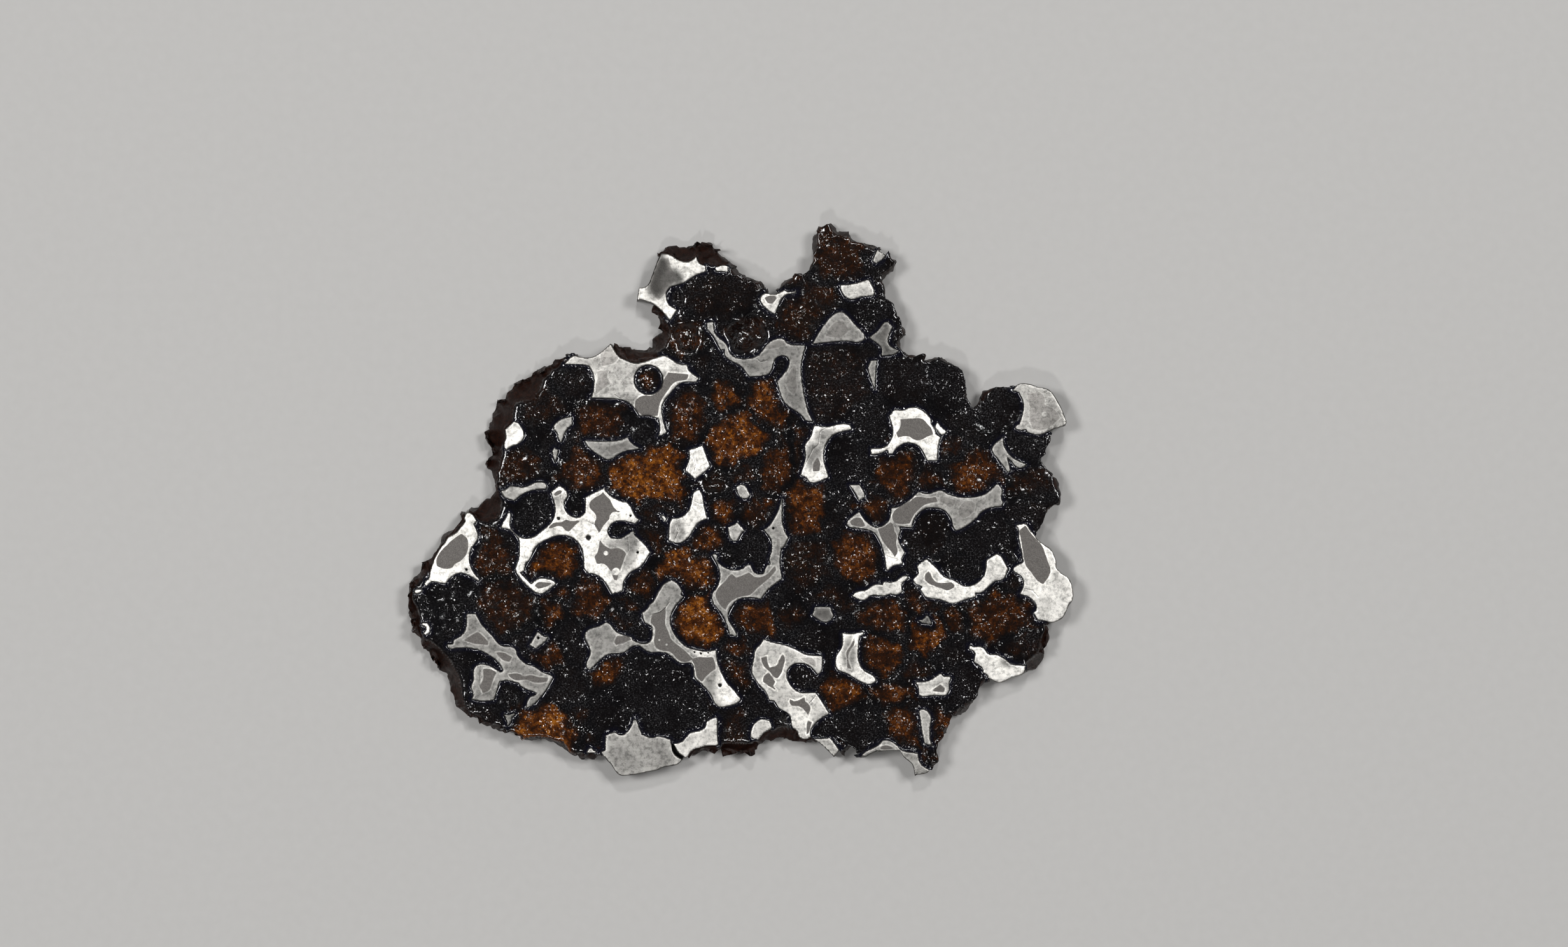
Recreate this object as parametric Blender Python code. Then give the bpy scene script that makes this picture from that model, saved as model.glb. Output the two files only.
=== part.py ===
# A flat slice of stony-iron meteorite. It lies on its back face: +X is the slice's right, +Y its top and +Z
# points out of the cut front face. Every outline is in millimetres and runs clockwise seen from the front.
# Each patch of metal is a solid of its own; the grown-together crystals are one solid with pockets for them.

import math

import bmesh
import bpy
import numpy as np
from mathutils import Vector
from mathutils.geometry import delaunay_2d_cdt

for old in list(bpy.data.objects):
    bpy.data.objects.remove(old, do_unlink=True)

MM = 0.001

# Overall sizes, in mm
THICKNESS = 3.5  # of the metal, back face to cut face
CRYSTAL_DROP = 0.1  # the crystals are cut this much lower than the metal
GAP = 0.3  # between two pieces that touch in the real slice
EDGE_HEIGHT = 0.8  # the least height of the natural rim, where it slopes most
EDGE_SLOPE = 1.35  # how steeply the natural rim falls from the cut face
BACK_SHIFT = 0.3  # how far the back face wanders from the front one, so the side walls aren't plain
MERGE = 0.105  # outline points nearer than this to a straight run are left out

# The rim, in runs. Each run is (points of the outline, points of the cut face's edge inside it, or None where
# the cut face reaches the outline and the side wall stands upright).
RIM = [
    # left side, up to the first metal on the rim
    (
        [(-29.5, -1.04), (-29.0, -0.84), (-28.4, -0.43), (-27.95, 0.03), (-27.6, 0.5), (-27.35, 0.95),
         (-27.25, 1.65), (-27.3, 2.4), (-27.5, 3.0), (-27.9, 3.4), (-28.3, 3.8), (-28.2, 4.3), (-27.9, 4.8),
         (-27.8, 5.4), (-28.0, 6.05), (-28.3, 6.4), (-28.3, 7.0), (-28.05, 7.8), (-27.9, 8.5), (-27.3, 8.8),
         (-27.0, 9.3), (-27.0, 10.0), (-26.9, 10.85), (-26.7, 11.25), (-25.8, 11.65), (-25.1, 12.2),
         (-24.8, 12.8), (-24.6, 13.3), (-24.2, 13.7), (-23.5, 13.85), (-23.1, 14.0), (-22.8, 14.4),
         (-22.1, 14.6), (-21.3, 14.9), (-20.5, 15.35), (-19.75, 15.6), (-19.2, 15.95)],
        [(-29.84, -1.35), (-29.4, -1.75), (-29.1, -2.2), (-28.6, -2.6), (-27.9, -2.8), (-27.3, -2.57),
         (-26.85, -2.06), (-26.5, -1.35), (-26.35, -0.5), (-26.5, 0.3), (-26.75, 1.05), (-26.9, 1.65),
         (-27.0, 2.4), (-27.0, 3.1), (-26.7, 3.7), (-26.5, 4.4), (-26.3, 5.0), (-26.25, 5.6), (-26.3, 6.3),
         (-26.15, 7.2), (-26.2, 8.0), (-25.5, 8.85), (-25.1, 9.2), (-25.05, 9.8), (-24.85, 10.75),
         (-23.7, 10.95), (-22.9, 11.15), (-22.3, 11.9), (-21.9, 12.7), (-21.8, 13.4), (-21.2, 14.1),
         (-20.4, 14.7), (-19.6, 15.1)],
    ),
    # the big upper-left metal's corner
    (
        [(-18.8, 16.25), (-18.4, 16.1), (-17.8, 15.95), (-17.0, 15.85), (-16.25, 16.0), (-15.5, 16.45),
         (-14.9, 17.0), (-14.4, 17.4), (-14.05, 17.0)],
        None,
    ),
    # the hollow beside the neck and the neck's left side
    (
        [(-13.6, 16.9), (-12.0, 16.8), (-11.45, 16.45), (-10.85, 16.3), (-10.35, 16.4), (-10.1, 16.75),
         (-9.5, 16.9), (-9.1, 17.7), (-8.9, 18.2), (-8.5, 18.6), (-8.45, 18.85), (-8.9, 19.05),
         (-8.95, 19.5), (-8.9, 20.2), (-9.2, 20.75), (-9.6, 21.2)],
        [(-13.6, 16.4), (-13.3, 15.9), (-12.85, 15.6), (-12.05, 15.38), (-11.05, 15.38), (-10.05, 15.62),
         (-9.3, 15.95), (-8.6, 16.35), (-8.3, 17.0), (-8.1, 17.7), (-7.8, 18.6), (-7.9, 19.3), (-8.2, 20.0),
         (-8.6, 20.7), (-9.1, 21.2)],
    ),
    # left ear's foot
    ([(-10.0, 21.75), (-10.4, 22.05), (-10.95, 22.25), (-11.5, 22.2), (-11.45, 22.8)], None),
    # left ear's outer side and top
    (
        [(-11.3, 23.6), (-10.55, 23.85), (-10.5, 24.8), (-10.5, 25.65), (-10.6, 26.4), (-10.4, 26.9),
         (-9.8, 27.2), (-9.2, 27.4), (-8.8, 27.85), (-8.6, 28.45), (-8.0, 28.3), (-7.0, 28.15),
         (-5.75, 28.2), (-4.9, 28.45), (-4.4, 28.6), (-3.5, 28.55), (-3.1, 28.25), (-2.7, 27.9),
         (-2.35, 27.9), (-2.55, 27.4), (-2.3, 26.9), (-1.85, 26.5), (-1.35, 26.3)],
        [(-11.2, 23.45), (-10.4, 23.7), (-10.0, 24.4), (-9.8, 25.0), (-9.5, 25.85), (-9.2, 26.65),
         (-8.8, 27.4), (-8.0, 27.35), (-7.5, 27.12), (-5.95, 26.52), (-4.95, 27.12), (-4.5, 26.45),
         (-3.8, 26.2), (-3.2, 26.0), (-2.5, 26.1), (-1.65, 26.25)],
    ),
    # from the left ear over the notch to the right ear and down to the metal knob
    (
        [(-0.75, 25.85), (-0.9, 25.45), (-0.45, 25.05), (0.15, 24.95), (0.55, 24.7), (1.15, 24.6),
         (1.55, 24.35), (2.1, 24.25), (2.2, 23.8), (2.45, 23.3), (2.6, 23.05), (3.4, 22.95), (3.9, 23.05),
         (4.55, 23.8), (5.05, 24.25), (5.65, 24.35), (5.95, 24.7), (7.1, 24.8), (7.5, 25.45), (8.0, 26.05),
         (8.2, 26.9), (8.25, 27.9), (8.35, 28.9), (8.55, 29.6), (9.0, 29.95), (9.55, 30.25), (9.75, 30.55),
         (10.0, 30.5), (10.2, 30.1), (10.95, 29.5), (11.65, 29.3), (12.0, 29.0), (12.3, 28.65),
         (13.3, 28.55), (14.1, 28.45), (14.85, 28.15), (15.1, 27.85), (15.75, 27.6), (16.3, 27.2),
         (16.8, 26.8), (17.15, 26.45), (16.9, 26.05), (16.5, 25.75), (15.75, 25.45), (15.75, 24.6),
         (15.85, 23.3), (15.95, 22.6), (16.5, 22.0), (16.95, 21.45), (17.0, 20.35), (17.5, 19.85),
         (17.9, 19.0), (18.2, 18.6), (17.8, 18.4), (17.5, 17.7), (17.8, 17.05), (17.9, 16.65),
         (18.65, 16.15), (19.35, 15.95), (20.1, 15.8), (20.35, 15.7), (20.2, 15.25), (20.8, 15.3),
         (21.4, 15.5), (22.1, 15.6), (23.0, 15.25), (23.7, 14.7), (24.35, 14.1), (24.75, 13.5),
         (24.95, 12.7), (25.0, 11.9), (25.1, 11.05), (25.4, 10.45), (25.7, 10.15), (26.1, 10.4),
         (26.5, 11.15), (27.0, 11.9), (27.5, 12.3), (28.0, 12.5), (28.85, 12.55), (30.0, 12.6)],
        None,
    ),
    # the metal knob and the right side
    (
        [(30.35, 12.65), (30.8, 12.95), (31.2, 13.0), (32.1, 12.9), (32.9, 12.6), (33.6, 12.5),
         (34.1, 12.3), (34.6, 11.65), (35.2, 10.85), (35.5, 10.05), (35.9, 9.2), (36.05, 8.7), (35.9, 8.3),
         (35.2, 8.1), (34.55, 7.9), (33.95, 7.5), (34.1, 6.95), (34.25, 6.7), (33.95, 6.15), (33.6, 5.45),
         (33.4, 4.7), (33.3, 3.9), (33.75, 3.4), (34.05, 2.9), (34.25, 2.4), (34.75, 2.25), (34.95, 1.65),
         (35.3, 1.05), (35.5, 0.3), (35.4, -0.07), (35.04, -0.33), (34.4, -0.73), (34.0, -1.14),
         (33.7, -1.65), (33.4, -2.16), (33.0, -2.67), (32.7, -3.2), (32.5, -3.8), (32.8, -4.2),
         (33.2, -4.6), (33.55, -4.8)],
        None,
    ),
    # the right-hand metal's upper edge
    (
        [(33.8, -4.9), (34.2, -5.07), (34.4, -5.33), (34.7, -5.94), (34.9, -6.55), (34.99, -7.06),
         (34.97, -7.47)],
        [(33.75, -5.05), (33.95, -5.3), (34.2, -5.85), (34.5, -6.6), (34.75, -7.3)],
    ),
    ([(35.24, -7.8), (35.55, -8.03), (35.96, -8.34)], None),
    # its worn corner
    (
        [(36.27, -8.54), (36.47, -8.8), (36.5, -9.2), (36.67, -9.6), (36.8, -10.1), (36.9, -10.5),
         (36.8, -11.0), (36.5, -11.35), (36.27, -11.86), (36.0, -12.47), (35.86, -12.9), (35.35, -13.13),
         (34.7, -13.4), (33.9, -13.32)],
        [(36.2, -8.75), (36.2, -9.3), (36.1, -9.75), (35.4, -10.8), (34.7, -11.6), (34.2, -12.4),
         (33.9, -13.0), (33.6, -13.2)],
    ),
    # the round crystal below it
    (
        [(33.85, -13.6), (33.95, -14.0), (34.0, -14.8), (33.9, -15.53), (33.7, -16.24), (33.4, -16.86),
         (33.1, -17.37), (32.7, -17.88), (32.3, -18.34), (31.98, -18.47)],
        [(33.35, -13.7), (33.35, -14.5), (33.2, -15.3), (32.9, -16.1), (32.5, -16.9), (32.0, -17.6),
         (31.6, -17.95)],
    ),
    # the lower right metal's worn edge
    (
        [(31.5, -18.5), (31.37, -18.9), (31.16, -19.15), (30.65, -19.3), (30.04, -19.56), (29.3, -19.87),
         (28.9, -20.0), (28.46, -20.15), (28.2, -20.07), (27.8, -19.85)],
        [(31.2, -18.25), (30.4, -18.35), (29.6, -18.5), (28.7, -18.8), (28.1, -19.3), (27.7, -19.6)],
    ),
    # down to the right foot
    (
        [(27.35, -19.65), (26.98, -19.66), (26.8, -19.9), (26.47, -20.3), (26.16, -20.84),
         (25.86, -21.24), (25.6, -21.96), (25.35, -22.47), (25.04, -22.98), (24.7, -23.34),
         (24.3, -23.44), (23.8, -23.6), (23.4, -23.85), (23.2, -24.3), (22.9, -25.0), (22.5, -25.7),
         (22.1, -26.2), (21.67, -26.65), (21.8, -27.16), (21.9, -27.57), (21.7, -28.1), (21.8, -28.5),
         (21.8, -29.0), (21.6, -29.3), (21.37, -29.3), (21.1, -29.25), (20.96, -29.66), (20.76, -30.0),
         (20.35, -30.2), (19.5, -30.3), (19.28, -30.45), (19.12, -30.2), (19.07, -29.7), (18.97, -29.2),
         (18.6, -28.8), (18.05, -28.35)],
        None,
    ),
    # under the arc beside the right foot
    (
        [(17.67, -28.23), (16.96, -28.13), (16.35, -28.1), (15.7, -27.78)],
        [(17.6, -27.85), (17.06, -27.7), (16.35, -27.62), (15.7, -27.62)],
    ),
    (
        [(15.1, -27.66), (14.8, -27.75), (14.3, -27.98), (13.8, -28.28), (13.44, -28.3), (13.2, -27.98),
         (12.9, -27.67), (12.57, -27.27), (12.27, -27.1), (11.96, -27.27), (11.55, -27.37),
         (11.04, -27.52), (10.84, -27.8), (10.53, -28.2), (10.33, -28.34), (10.02, -28.2), (9.6, -27.83),
         (9.2, -27.47), (8.8, -27.16), (8.4, -26.76)],
        None,
    ),
    # the smooth scallops along the bottom
    (
        [(7.98, -26.65), (7.47, -26.7), (7.06, -26.7), (6.55, -26.6), (5.94, -26.45), (5.3, -26.3),
         (4.7, -26.24), (4.1, -26.3), (3.5, -26.4), (2.88, -26.65), (2.37, -26.8), (1.96, -27.0),
         (1.67, -27.27), (1.55, -27.5), (1.14, -27.72), (0.53, -28.03), (-0.08, -28.13), (-1.0, -28.15),
         (-1.65, -28.13), (-2.67, -27.98), (-3.7, -27.93), (-4.5, -28.03), (-5.2, -28.3), (-5.73, -28.42)],
        [(7.9, -26.42), (7.37, -26.42), (6.76, -26.38), (6.4, -26.1), (6.15, -25.6), (5.7, -25.22),
         (5.3, -25.1), (4.6, -25.1), (4.0, -25.05), (3.5, -25.25), (3.08, -25.4), (2.57, -25.8),
         (2.27, -26.25), (1.96, -26.55), (1.5, -26.6), (1.0, -26.75), (0.5, -26.65), (-0.2, -26.65),
         (-1.0, -26.76), (-1.65, -26.96), (-2.5, -27.1), (-3.08, -27.1), (-3.7, -27.14), (-4.4, -27.25),
         (-5.1, -27.53), (-5.63, -27.95), (-5.8, -28.25)],
    ),
    # the left foot
    (
        [(-6.04, -28.52), (-6.4, -28.65), (-6.65, -28.9), (-6.96, -29.15), (-7.37, -29.3), (-7.98, -29.36),
         (-8.6, -29.5), (-9.2, -29.77), (-10.0, -29.87), (-10.33, -30.0), (-11.04, -30.2), (-11.86, -30.3),
         (-12.5, -30.45), (-13.13, -30.43), (-13.44, -30.4), (-13.64, -30.2), (-13.95, -29.8),
         (-14.25, -29.4), (-14.5, -29.0), (-14.8, -28.7), (-15.1, -28.5), (-15.4, -28.1)],
        None,
    ),
    # the underside left of the foot
    (
        [(-15.94, -28.2), (-16.35, -28.44), (-17.3, -28.4), (-17.5, -28.6), (-17.83, -28.64),
         (-18.1, -28.4), (-18.2, -28.0), (-18.8, -27.7), (-19.3, -27.37), (-19.7, -27.0), (-20.04, -26.75),
         (-20.65, -26.6), (-21.16, -26.5), (-21.9, -26.4), (-22.7, -26.3), (-23.3, -26.24),
         (-24.0, -26.14), (-24.73, -26.04), (-25.25, -25.84), (-25.75, -25.73), (-26.3, -25.8),
         (-26.6, -25.7)],
        [(-15.95, -27.95), (-16.4, -27.98), (-17.1, -28.02), (-17.5, -27.9), (-17.9, -27.6),
         (-18.8, -27.3), (-19.4, -26.9), (-20.04, -26.5), (-21.2, -26.3), (-22.7, -26.1), (-24.0, -25.9),
         (-25.3, -25.55), (-26.0, -25.4), (-26.4, -25.25)],
    ),
    # the lower left side, up to the left-hand metal
    (
        [(-26.9, -25.4), (-27.3, -25.1), (-27.7, -24.8), (-28.2, -24.56), (-28.8, -24.36),
         (-29.1, -24.15), (-29.53, -23.95), (-30.14, -23.8), (-30.6, -23.54), (-30.96, -23.2),
         (-31.27, -22.78), (-31.47, -22.27), (-31.6, -21.76), (-31.67, -21.14), (-31.9, -20.7),
         (-32.3, -20.2), (-32.6, -19.7), (-32.74, -19.3), (-33.0, -18.9), (-33.4, -18.54), (-33.9, -18.1),
         (-34.4, -17.37), (-34.73, -16.65), (-35.1, -15.94), (-35.55, -15.33), (-35.96, -15.0),
         (-36.1, -14.5), (-36.37, -13.7), (-36.57, -13.1), (-36.78, -12.4), (-36.88, -11.65),
         (-36.95, -11.04), (-37.03, -10.4), (-36.93, -9.8), (-36.83, -9.36), (-36.6, -9.05), (-36.27, -8.8),
         (-35.96, -8.34), (-35.5, -7.7), (-35.2, -7.16), (-34.94, -6.8), (-34.4, -6.5), (-34.05, -6.14),
         (-33.9, -5.6), (-33.7, -5.1), (-33.56, -4.5), (-33.46, -4.0), (-33.26, -3.5), (-32.95, -3.03),
         (-32.5, -2.8), (-32.0, -2.4), (-31.6, -2.06), (-31.3, -1.96), (-30.95, -2.0)],
        [(-27.2, -24.9), (-28.0, -24.3), (-28.7, -24.0), (-29.3, -23.5), (-30.1, -23.3), (-30.6, -22.8),
         (-30.9, -22.0), (-30.8, -21.4), (-30.7, -20.6), (-30.9, -19.8), (-31.2, -19.0), (-31.6, -18.4),
         (-32.0, -17.6), (-32.6, -16.9), (-33.2, -16.3), (-34.3, -15.6), (-35.3, -14.9), (-35.5, -13.8),
         (-35.5, -12.8), (-35.7, -11.76), (-36.3, -10.8), (-36.5, -10.1), (-35.9, -9.2), (-35.1, -8.6),
         (-34.5, -8.1), (-34.35, -7.5), (-34.05, -6.65), (-33.6, -5.75), (-32.9, -4.7), (-32.55, -4.25),
         (-31.95, -3.95), (-31.5, -3.55), (-31.1, -3.15), (-30.85, -2.75), (-30.7, -2.35)],
    ),
    ([(-30.6, -1.96), (-30.45, -1.45), (-30.14, -1.22), (-29.9, -1.2)], None),
]

# The patches of metal
METALS = {
    "metal_left_ear": [
        (-11.5, 22.2), (-11.25, 23.55), (-10.4, 23.8), (-10.0, 24.4), (-9.8, 25.0), (-9.5, 25.85),
        (-9.2, 26.65), (-8.8, 27.4), (-8.0, 27.3), (-7.5, 27.05), (-6.7, 26.6), (-5.95, 26.45),
        (-5.4, 26.65), (-4.95, 27.05), (-4.75, 26.6), (-4.5, 26.25), (-3.9, 26.0), (-3.85, 25.4),
        (-4.3, 25.2), (-5.0, 24.95), (-5.75, 24.4), (-6.45, 24.05), (-7.1, 23.85), (-7.8, 23.6),
        (-8.2, 23.1), (-8.2, 22.3), (-7.9, 21.65), (-7.05, 21.15), (-7.3, 20.65), (-7.8, 19.95),
        (-8.3, 20.45), (-8.9, 21.15), (-9.6, 21.55), (-10.1, 22.0), (-10.85, 22.2)],
    "metal_left_ear_chip": [
        (-2.8, 25.85), (-2.3, 26.0), (-1.75, 26.1), (-1.4, 25.9), (-1.4, 25.35), (-2.15, 25.3),
        (-2.75, 25.4)],
    "metal_upper_centre": [
        (-3.8, 19.7), (-3.05, 19.9), (-2.8, 18.5), (-2.0, 17.7), (-1.55, 17.3), (-1.45, 16.9),
        (-1.2, 16.4), (-0.7, 15.95), (0.0, 15.75), (1.0, 15.8), (1.8, 16.05), (2.4, 16.6), (3.1, 17.5),
        (3.8, 17.9), (4.7, 17.95), (5.2, 17.45), (6.2, 17.3), (7.2, 17.2), (6.85, 16.1), (6.7, 15.1),
        (6.72, 13.9), (6.83, 12.9), (7.0, 11.9), (7.2, 10.8), (7.45, 10.0), (8.0, 8.75), (7.2, 8.9),
        (6.7, 9.5), (5.75, 10.2), (4.95, 10.75), (4.5, 11.5), (4.3, 12.4), (4.0, 13.2), (4.35, 13.6),
        (4.85, 14.2), (5.25, 14.85), (5.35, 15.45), (5.05, 15.95), (4.45, 16.05), (3.9, 15.75),
        (3.5, 15.05), (3.25, 14.2), (3.0, 14.0), (1.8, 13.9), (0.95, 13.7), (0.5, 14.2), (0.0, 14.9),
        (-0.65, 15.35), (-1.4, 15.7), (-1.8, 16.2), (-1.8, 16.8), (-2.2, 16.65), (-2.6, 17.5),
        (-3.1, 18.3), (-3.7, 19.0)],
    "metal_notch": [
        (2.15, 22.2), (2.2, 22.6), (2.6, 22.95), (3.0, 22.95), (3.7, 22.85), (4.35, 23.1), (4.85, 23.35),
        (5.15, 23.15), (6.15, 23.25), (6.05, 22.95), (5.15, 22.85), (4.65, 22.5), (4.35, 21.9),
        (4.0, 21.25), (3.8, 20.65), (3.3, 20.9), (2.9, 21.45), (2.5, 21.9)],
    "metal_right_ear_bar": [
        (11.0, 23.9), (12.3, 24.0), (13.3, 24.3), (14.2, 24.55), (14.4, 23.9), (14.8, 23.0), (14.7, 22.7),
        (13.5, 22.6), (12.2, 22.3), (11.5, 22.65), (11.15, 23.2)],
    "metal_right_ear_chip": [
        (15.05, 27.8), (15.55, 27.6), (16.1, 27.2), (15.75, 26.75), (14.95, 26.25), (14.6, 26.55),
        (14.8, 27.3)],
    "metal_triangle": [
        (10.95, 20.95), (11.4, 20.85), (11.9, 20.45), (12.6, 19.6), (13.3, 18.8), (13.75, 18.2),
        (13.7, 17.85), (13.1, 17.55), (11.8, 17.7), (10.75, 17.65), (9.7, 17.55), (7.9, 17.35),
        (8.1, 17.8), (8.8, 18.9), (9.55, 19.85), (10.1, 20.5)],
    "metal_hook": [
        (14.15, 18.1), (14.7, 18.6), (15.1, 18.8), (15.55, 19.4), (15.95, 19.8), (16.35, 19.85),
        (16.8, 19.2), (16.55, 18.6), (16.35, 17.9), (16.45, 17.3), (16.9, 16.9), (17.5, 16.65),
        (17.3, 16.35), (16.55, 16.15), (15.5, 16.0), (15.6, 16.65), (15.45, 17.05), (15.0, 17.5),
        (14.6, 17.7)],
    "metal_upper_sliver": [
        (14.4, 15.55), (15.05, 15.6), (15.05, 14.9), (14.95, 13.9), (14.95, 13.15), (14.85, 12.2),
        (14.65, 12.6), (14.5, 13.15), (14.3, 13.9), (14.1, 14.85)],
    "metal_crescent": [
        (6.6, 2.85), (6.8, 3.4), (7.0, 3.9), (7.15, 4.7), (7.05, 5.4), (7.15, 6.3), (7.7, 7.0),
        (7.9, 7.8), (8.1, 8.35), (9.2, 8.2), (9.55, 8.2), (10.45, 8.45), (11.3, 8.55), (11.8, 8.35),
        (12.1, 8.4), (12.3, 7.9), (11.5, 7.8), (10.55, 7.45), (9.85, 6.9), (9.45, 6.25), (9.2, 5.55),
        (9.2, 4.5), (9.45, 3.6), (9.75, 2.6), (8.8, 2.3), (8.1, 2.0), (7.6, 2.1), (7.2, 2.6)],
    "metal_centre_wedge": [
        (12.0, 1.8), (13.2, 1.8), (13.3, 1.45), (13.7, 0.8), (13.74, 0.4), (13.3, 0.08), (13.08, 0.0),
        (12.88, 0.4), (12.7, 0.8), (12.4, 1.25)],
    "metal_centre_crumb": [
        (-0.55, 1.5), (-0.1, 1.8), (0.45, 1.75), (0.75, 1.2), (1.05, 0.75), (0.85, 0.3), (0.3, 0.25),
        (-0.1, 0.45), (-0.35, 0.9)],
    "metal_window": [
        (14.4, 5.8), (15.75, 5.9), (16.3, 6.25), (16.6, 6.9), (16.85, 7.5), (16.8, 8.2), (16.55, 9.0),
        (16.45, 9.4), (17.0, 10.1), (18.0, 10.05), (18.75, 10.35), (19.55, 10.3), (20.05, 9.95),
        (20.6, 9.4), (21.0, 9.1), (21.1, 8.5), (21.5, 7.9), (21.6, 7.4), (22.15, 7.0), (22.15, 6.7),
        (21.9, 6.25), (21.75, 5.45), (21.75, 4.45), (20.6, 4.45), (20.4, 5.0), (20.05, 5.65),
        (19.55, 6.15), (18.65, 6.45), (18.05, 6.35), (17.4, 5.95), (17.1, 5.65), (16.8, 5.2),
        (16.35, 5.2), (16.25, 5.65), (15.85, 5.5), (15.55, 5.3), (14.45, 5.1)],
    "metal_window_chip": [(21.75, 8.75), (22.1, 8.3), (22.8, 7.65), (22.35, 7.2), (21.9, 7.55), (21.5, 8.2)],
    "metal_knob": [
        (30.05, 12.2), (30.35, 12.6), (30.8, 12.95), (31.2, 13.0), (32.1, 12.9), (32.9, 12.6),
        (33.6, 12.5), (34.1, 12.3), (34.6, 11.65), (35.2, 10.85), (35.5, 10.05), (35.9, 9.2),
        (36.05, 8.7), (35.9, 8.3), (35.2, 8.1), (34.55, 7.9), (33.85, 7.65), (33.0, 7.3), (32.4, 7.35),
        (31.7, 7.6), (31.6, 7.9), (31.0, 7.8), (30.35, 8.0), (30.5, 8.35), (30.85, 8.5), (30.95, 9.1),
        (31.2, 9.85), (31.3, 10.65), (31.15, 11.35), (30.8, 12.0)],
    "metal_vee": [
        (29.05, 7.1), (29.15, 6.85), (29.15, 6.15), (29.5, 5.55), (29.95, 4.95), (30.5, 4.6),
        (31.2, 4.35), (31.7, 4.0), (31.3, 3.7), (30.6, 3.7), (30.05, 4.2), (29.5, 4.85), (29.8, 4.0),
        (29.9, 3.3), (29.55, 3.15), (29.15, 3.8), (28.65, 4.4), (28.1, 5.05), (27.8, 5.65), (27.9, 6.05),
        (28.4, 6.45), (28.85, 6.85)],
    "metal_left_chip": [
        (-25.1, 8.8), (-24.75, 8.7), (-24.3, 8.2), (-24.0, 7.5), (-24.1, 6.8), (-24.75, 6.25),
        (-25.25, 6.1), (-25.95, 5.6), (-26.2, 6.05), (-26.0, 7.0), (-26.1, 7.9), (-25.7, 8.3)],
    "metal_small_leaf": [
        (-18.65, 9.4), (-18.65, 8.4), (-19.15, 8.0), (-19.3, 7.4), (-19.6, 6.8), (-19.85, 6.45),
        (-20.15, 6.8), (-20.35, 7.5), (-20.75, 8.0), (-20.65, 8.4), (-19.95, 9.0), (-19.25, 9.2)],
    "metal_thin_sliver": [
        (-20.65, 5.9), (-20.2, 5.65), (-20.3, 4.95), (-20.55, 4.15), (-20.7, 4.7), (-20.85, 5.55)],
    "metal_left_strip": [
        (-26.6, 1.1), (-25.9, 1.35), (-25.55, 1.7), (-24.85, 1.55), (-23.9, 1.55), (-23.4, 1.85),
        (-22.7, 2.05), (-21.9, 2.1), (-21.5, 1.75), (-21.5, 1.3), (-22.1, 1.35), (-22.9, 1.2),
        (-23.7, 0.95), (-24.2, 0.7), (-24.6, 0.4), (-25.04, 0.0), (-25.65, 0.18), (-26.2, 0.45),
        (-26.5, 0.8)],
    "metal_upper_left": [
        (-19.55, 15.1), (-18.9, 15.55), (-18.5, 16.05), (-17.8, 15.95), (-17.0, 15.85), (-16.25, 16.0),
        (-15.5, 16.45), (-14.9, 17.0), (-14.4, 17.4), (-14.1, 17.0), (-13.7, 16.55), (-13.35, 15.85),
        (-12.9, 15.55), (-12.05, 15.3), (-11.05, 15.3), (-10.05, 15.55), (-9.3, 15.85), (-8.5, 16.05),
        (-8.0, 15.85), (-7.5, 15.45), (-6.75, 15.15), (-5.95, 15.1), (-5.75, 14.5), (-5.05, 14.0),
        (-4.65, 13.6), (-4.9, 13.15), (-5.75, 13.15), (-6.55, 13.05), (-7.15, 12.6), (-7.8, 11.9),
        (-8.4, 11.05), (-8.7, 10.55), (-8.75, 9.85), (-8.6, 9.0), (-8.35, 8.4), (-8.15, 7.5),
        (-9.2, 7.1), (-8.95, 7.8), (-9.1, 8.5), (-9.1, 9.1), (-9.45, 9.15), (-10.05, 9.4),
        (-11.15, 9.4), (-11.65, 9.95), (-12.15, 10.65), (-12.9, 11.1), (-13.9, 11.25), (-14.9, 11.35),
        (-15.95, 11.3), (-16.6, 11.4), (-16.35, 12.05), (-16.25, 13.0), (-16.3, 13.9), (-16.65, 14.5),
        (-16.85, 14.95), (-18.0, 15.1)],
    "metal_boat": [
        (-17.3, 6.7), (-16.45, 6.7), (-15.4, 6.6), (-14.4, 6.6), (-13.4, 6.75), (-12.5, 7.1),
        (-12.3, 6.65), (-11.75, 6.15), (-11.05, 5.75), (-11.85, 5.6), (-12.9, 5.45), (-13.9, 5.05),
        (-14.7, 4.55), (-15.3, 4.8), (-16.15, 5.55), (-16.95, 6.05)],
    "metal_diamond": [
        (-5.75, 5.65), (-4.2, 6.1), (-3.9, 5.45), (-3.7, 4.7), (-3.35, 3.8), (-4.0, 3.2), (-5.05, 2.4),
        (-5.55, 2.9), (-6.15, 3.4), (-5.85, 4.1), (-5.65, 4.9)],
    "metal_left_tip": [
        (-30.6, -2.06), (-30.57, -1.65), (-30.45, -1.4), (-30.14, -1.22), (-29.94, -1.3), (-29.63, -1.55),
        (-29.43, -1.96), (-29.2, -2.27), (-29.53, -2.57), (-29.43, -2.98), (-29.27, -3.39), (-29.07, -3.9),
        (-29.2, -4.4), (-29.6, -4.8), (-29.84, -5.33), (-30.0, -5.94), (-30.04, -6.55), (-29.94, -7.16),
        (-29.63, -7.78), (-29.2, -8.23), (-28.94, -8.64), (-29.0, -8.9), (-29.4, -8.7), (-29.94, -8.34),
        (-30.45, -8.08), (-30.96, -7.98), (-31.47, -8.08), (-31.9, -8.34), (-32.13, -8.7),
        (-32.44, -9.05), (-32.7, -9.17), (-33.2, -9.05), (-33.7, -8.95), (-34.2, -8.9), (-34.48, -9.1),
        (-34.73, -9.4), (-34.97, -9.3), (-34.9, -8.85), (-34.6, -8.7), (-34.4, -8.2), (-34.3, -7.57),
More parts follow.
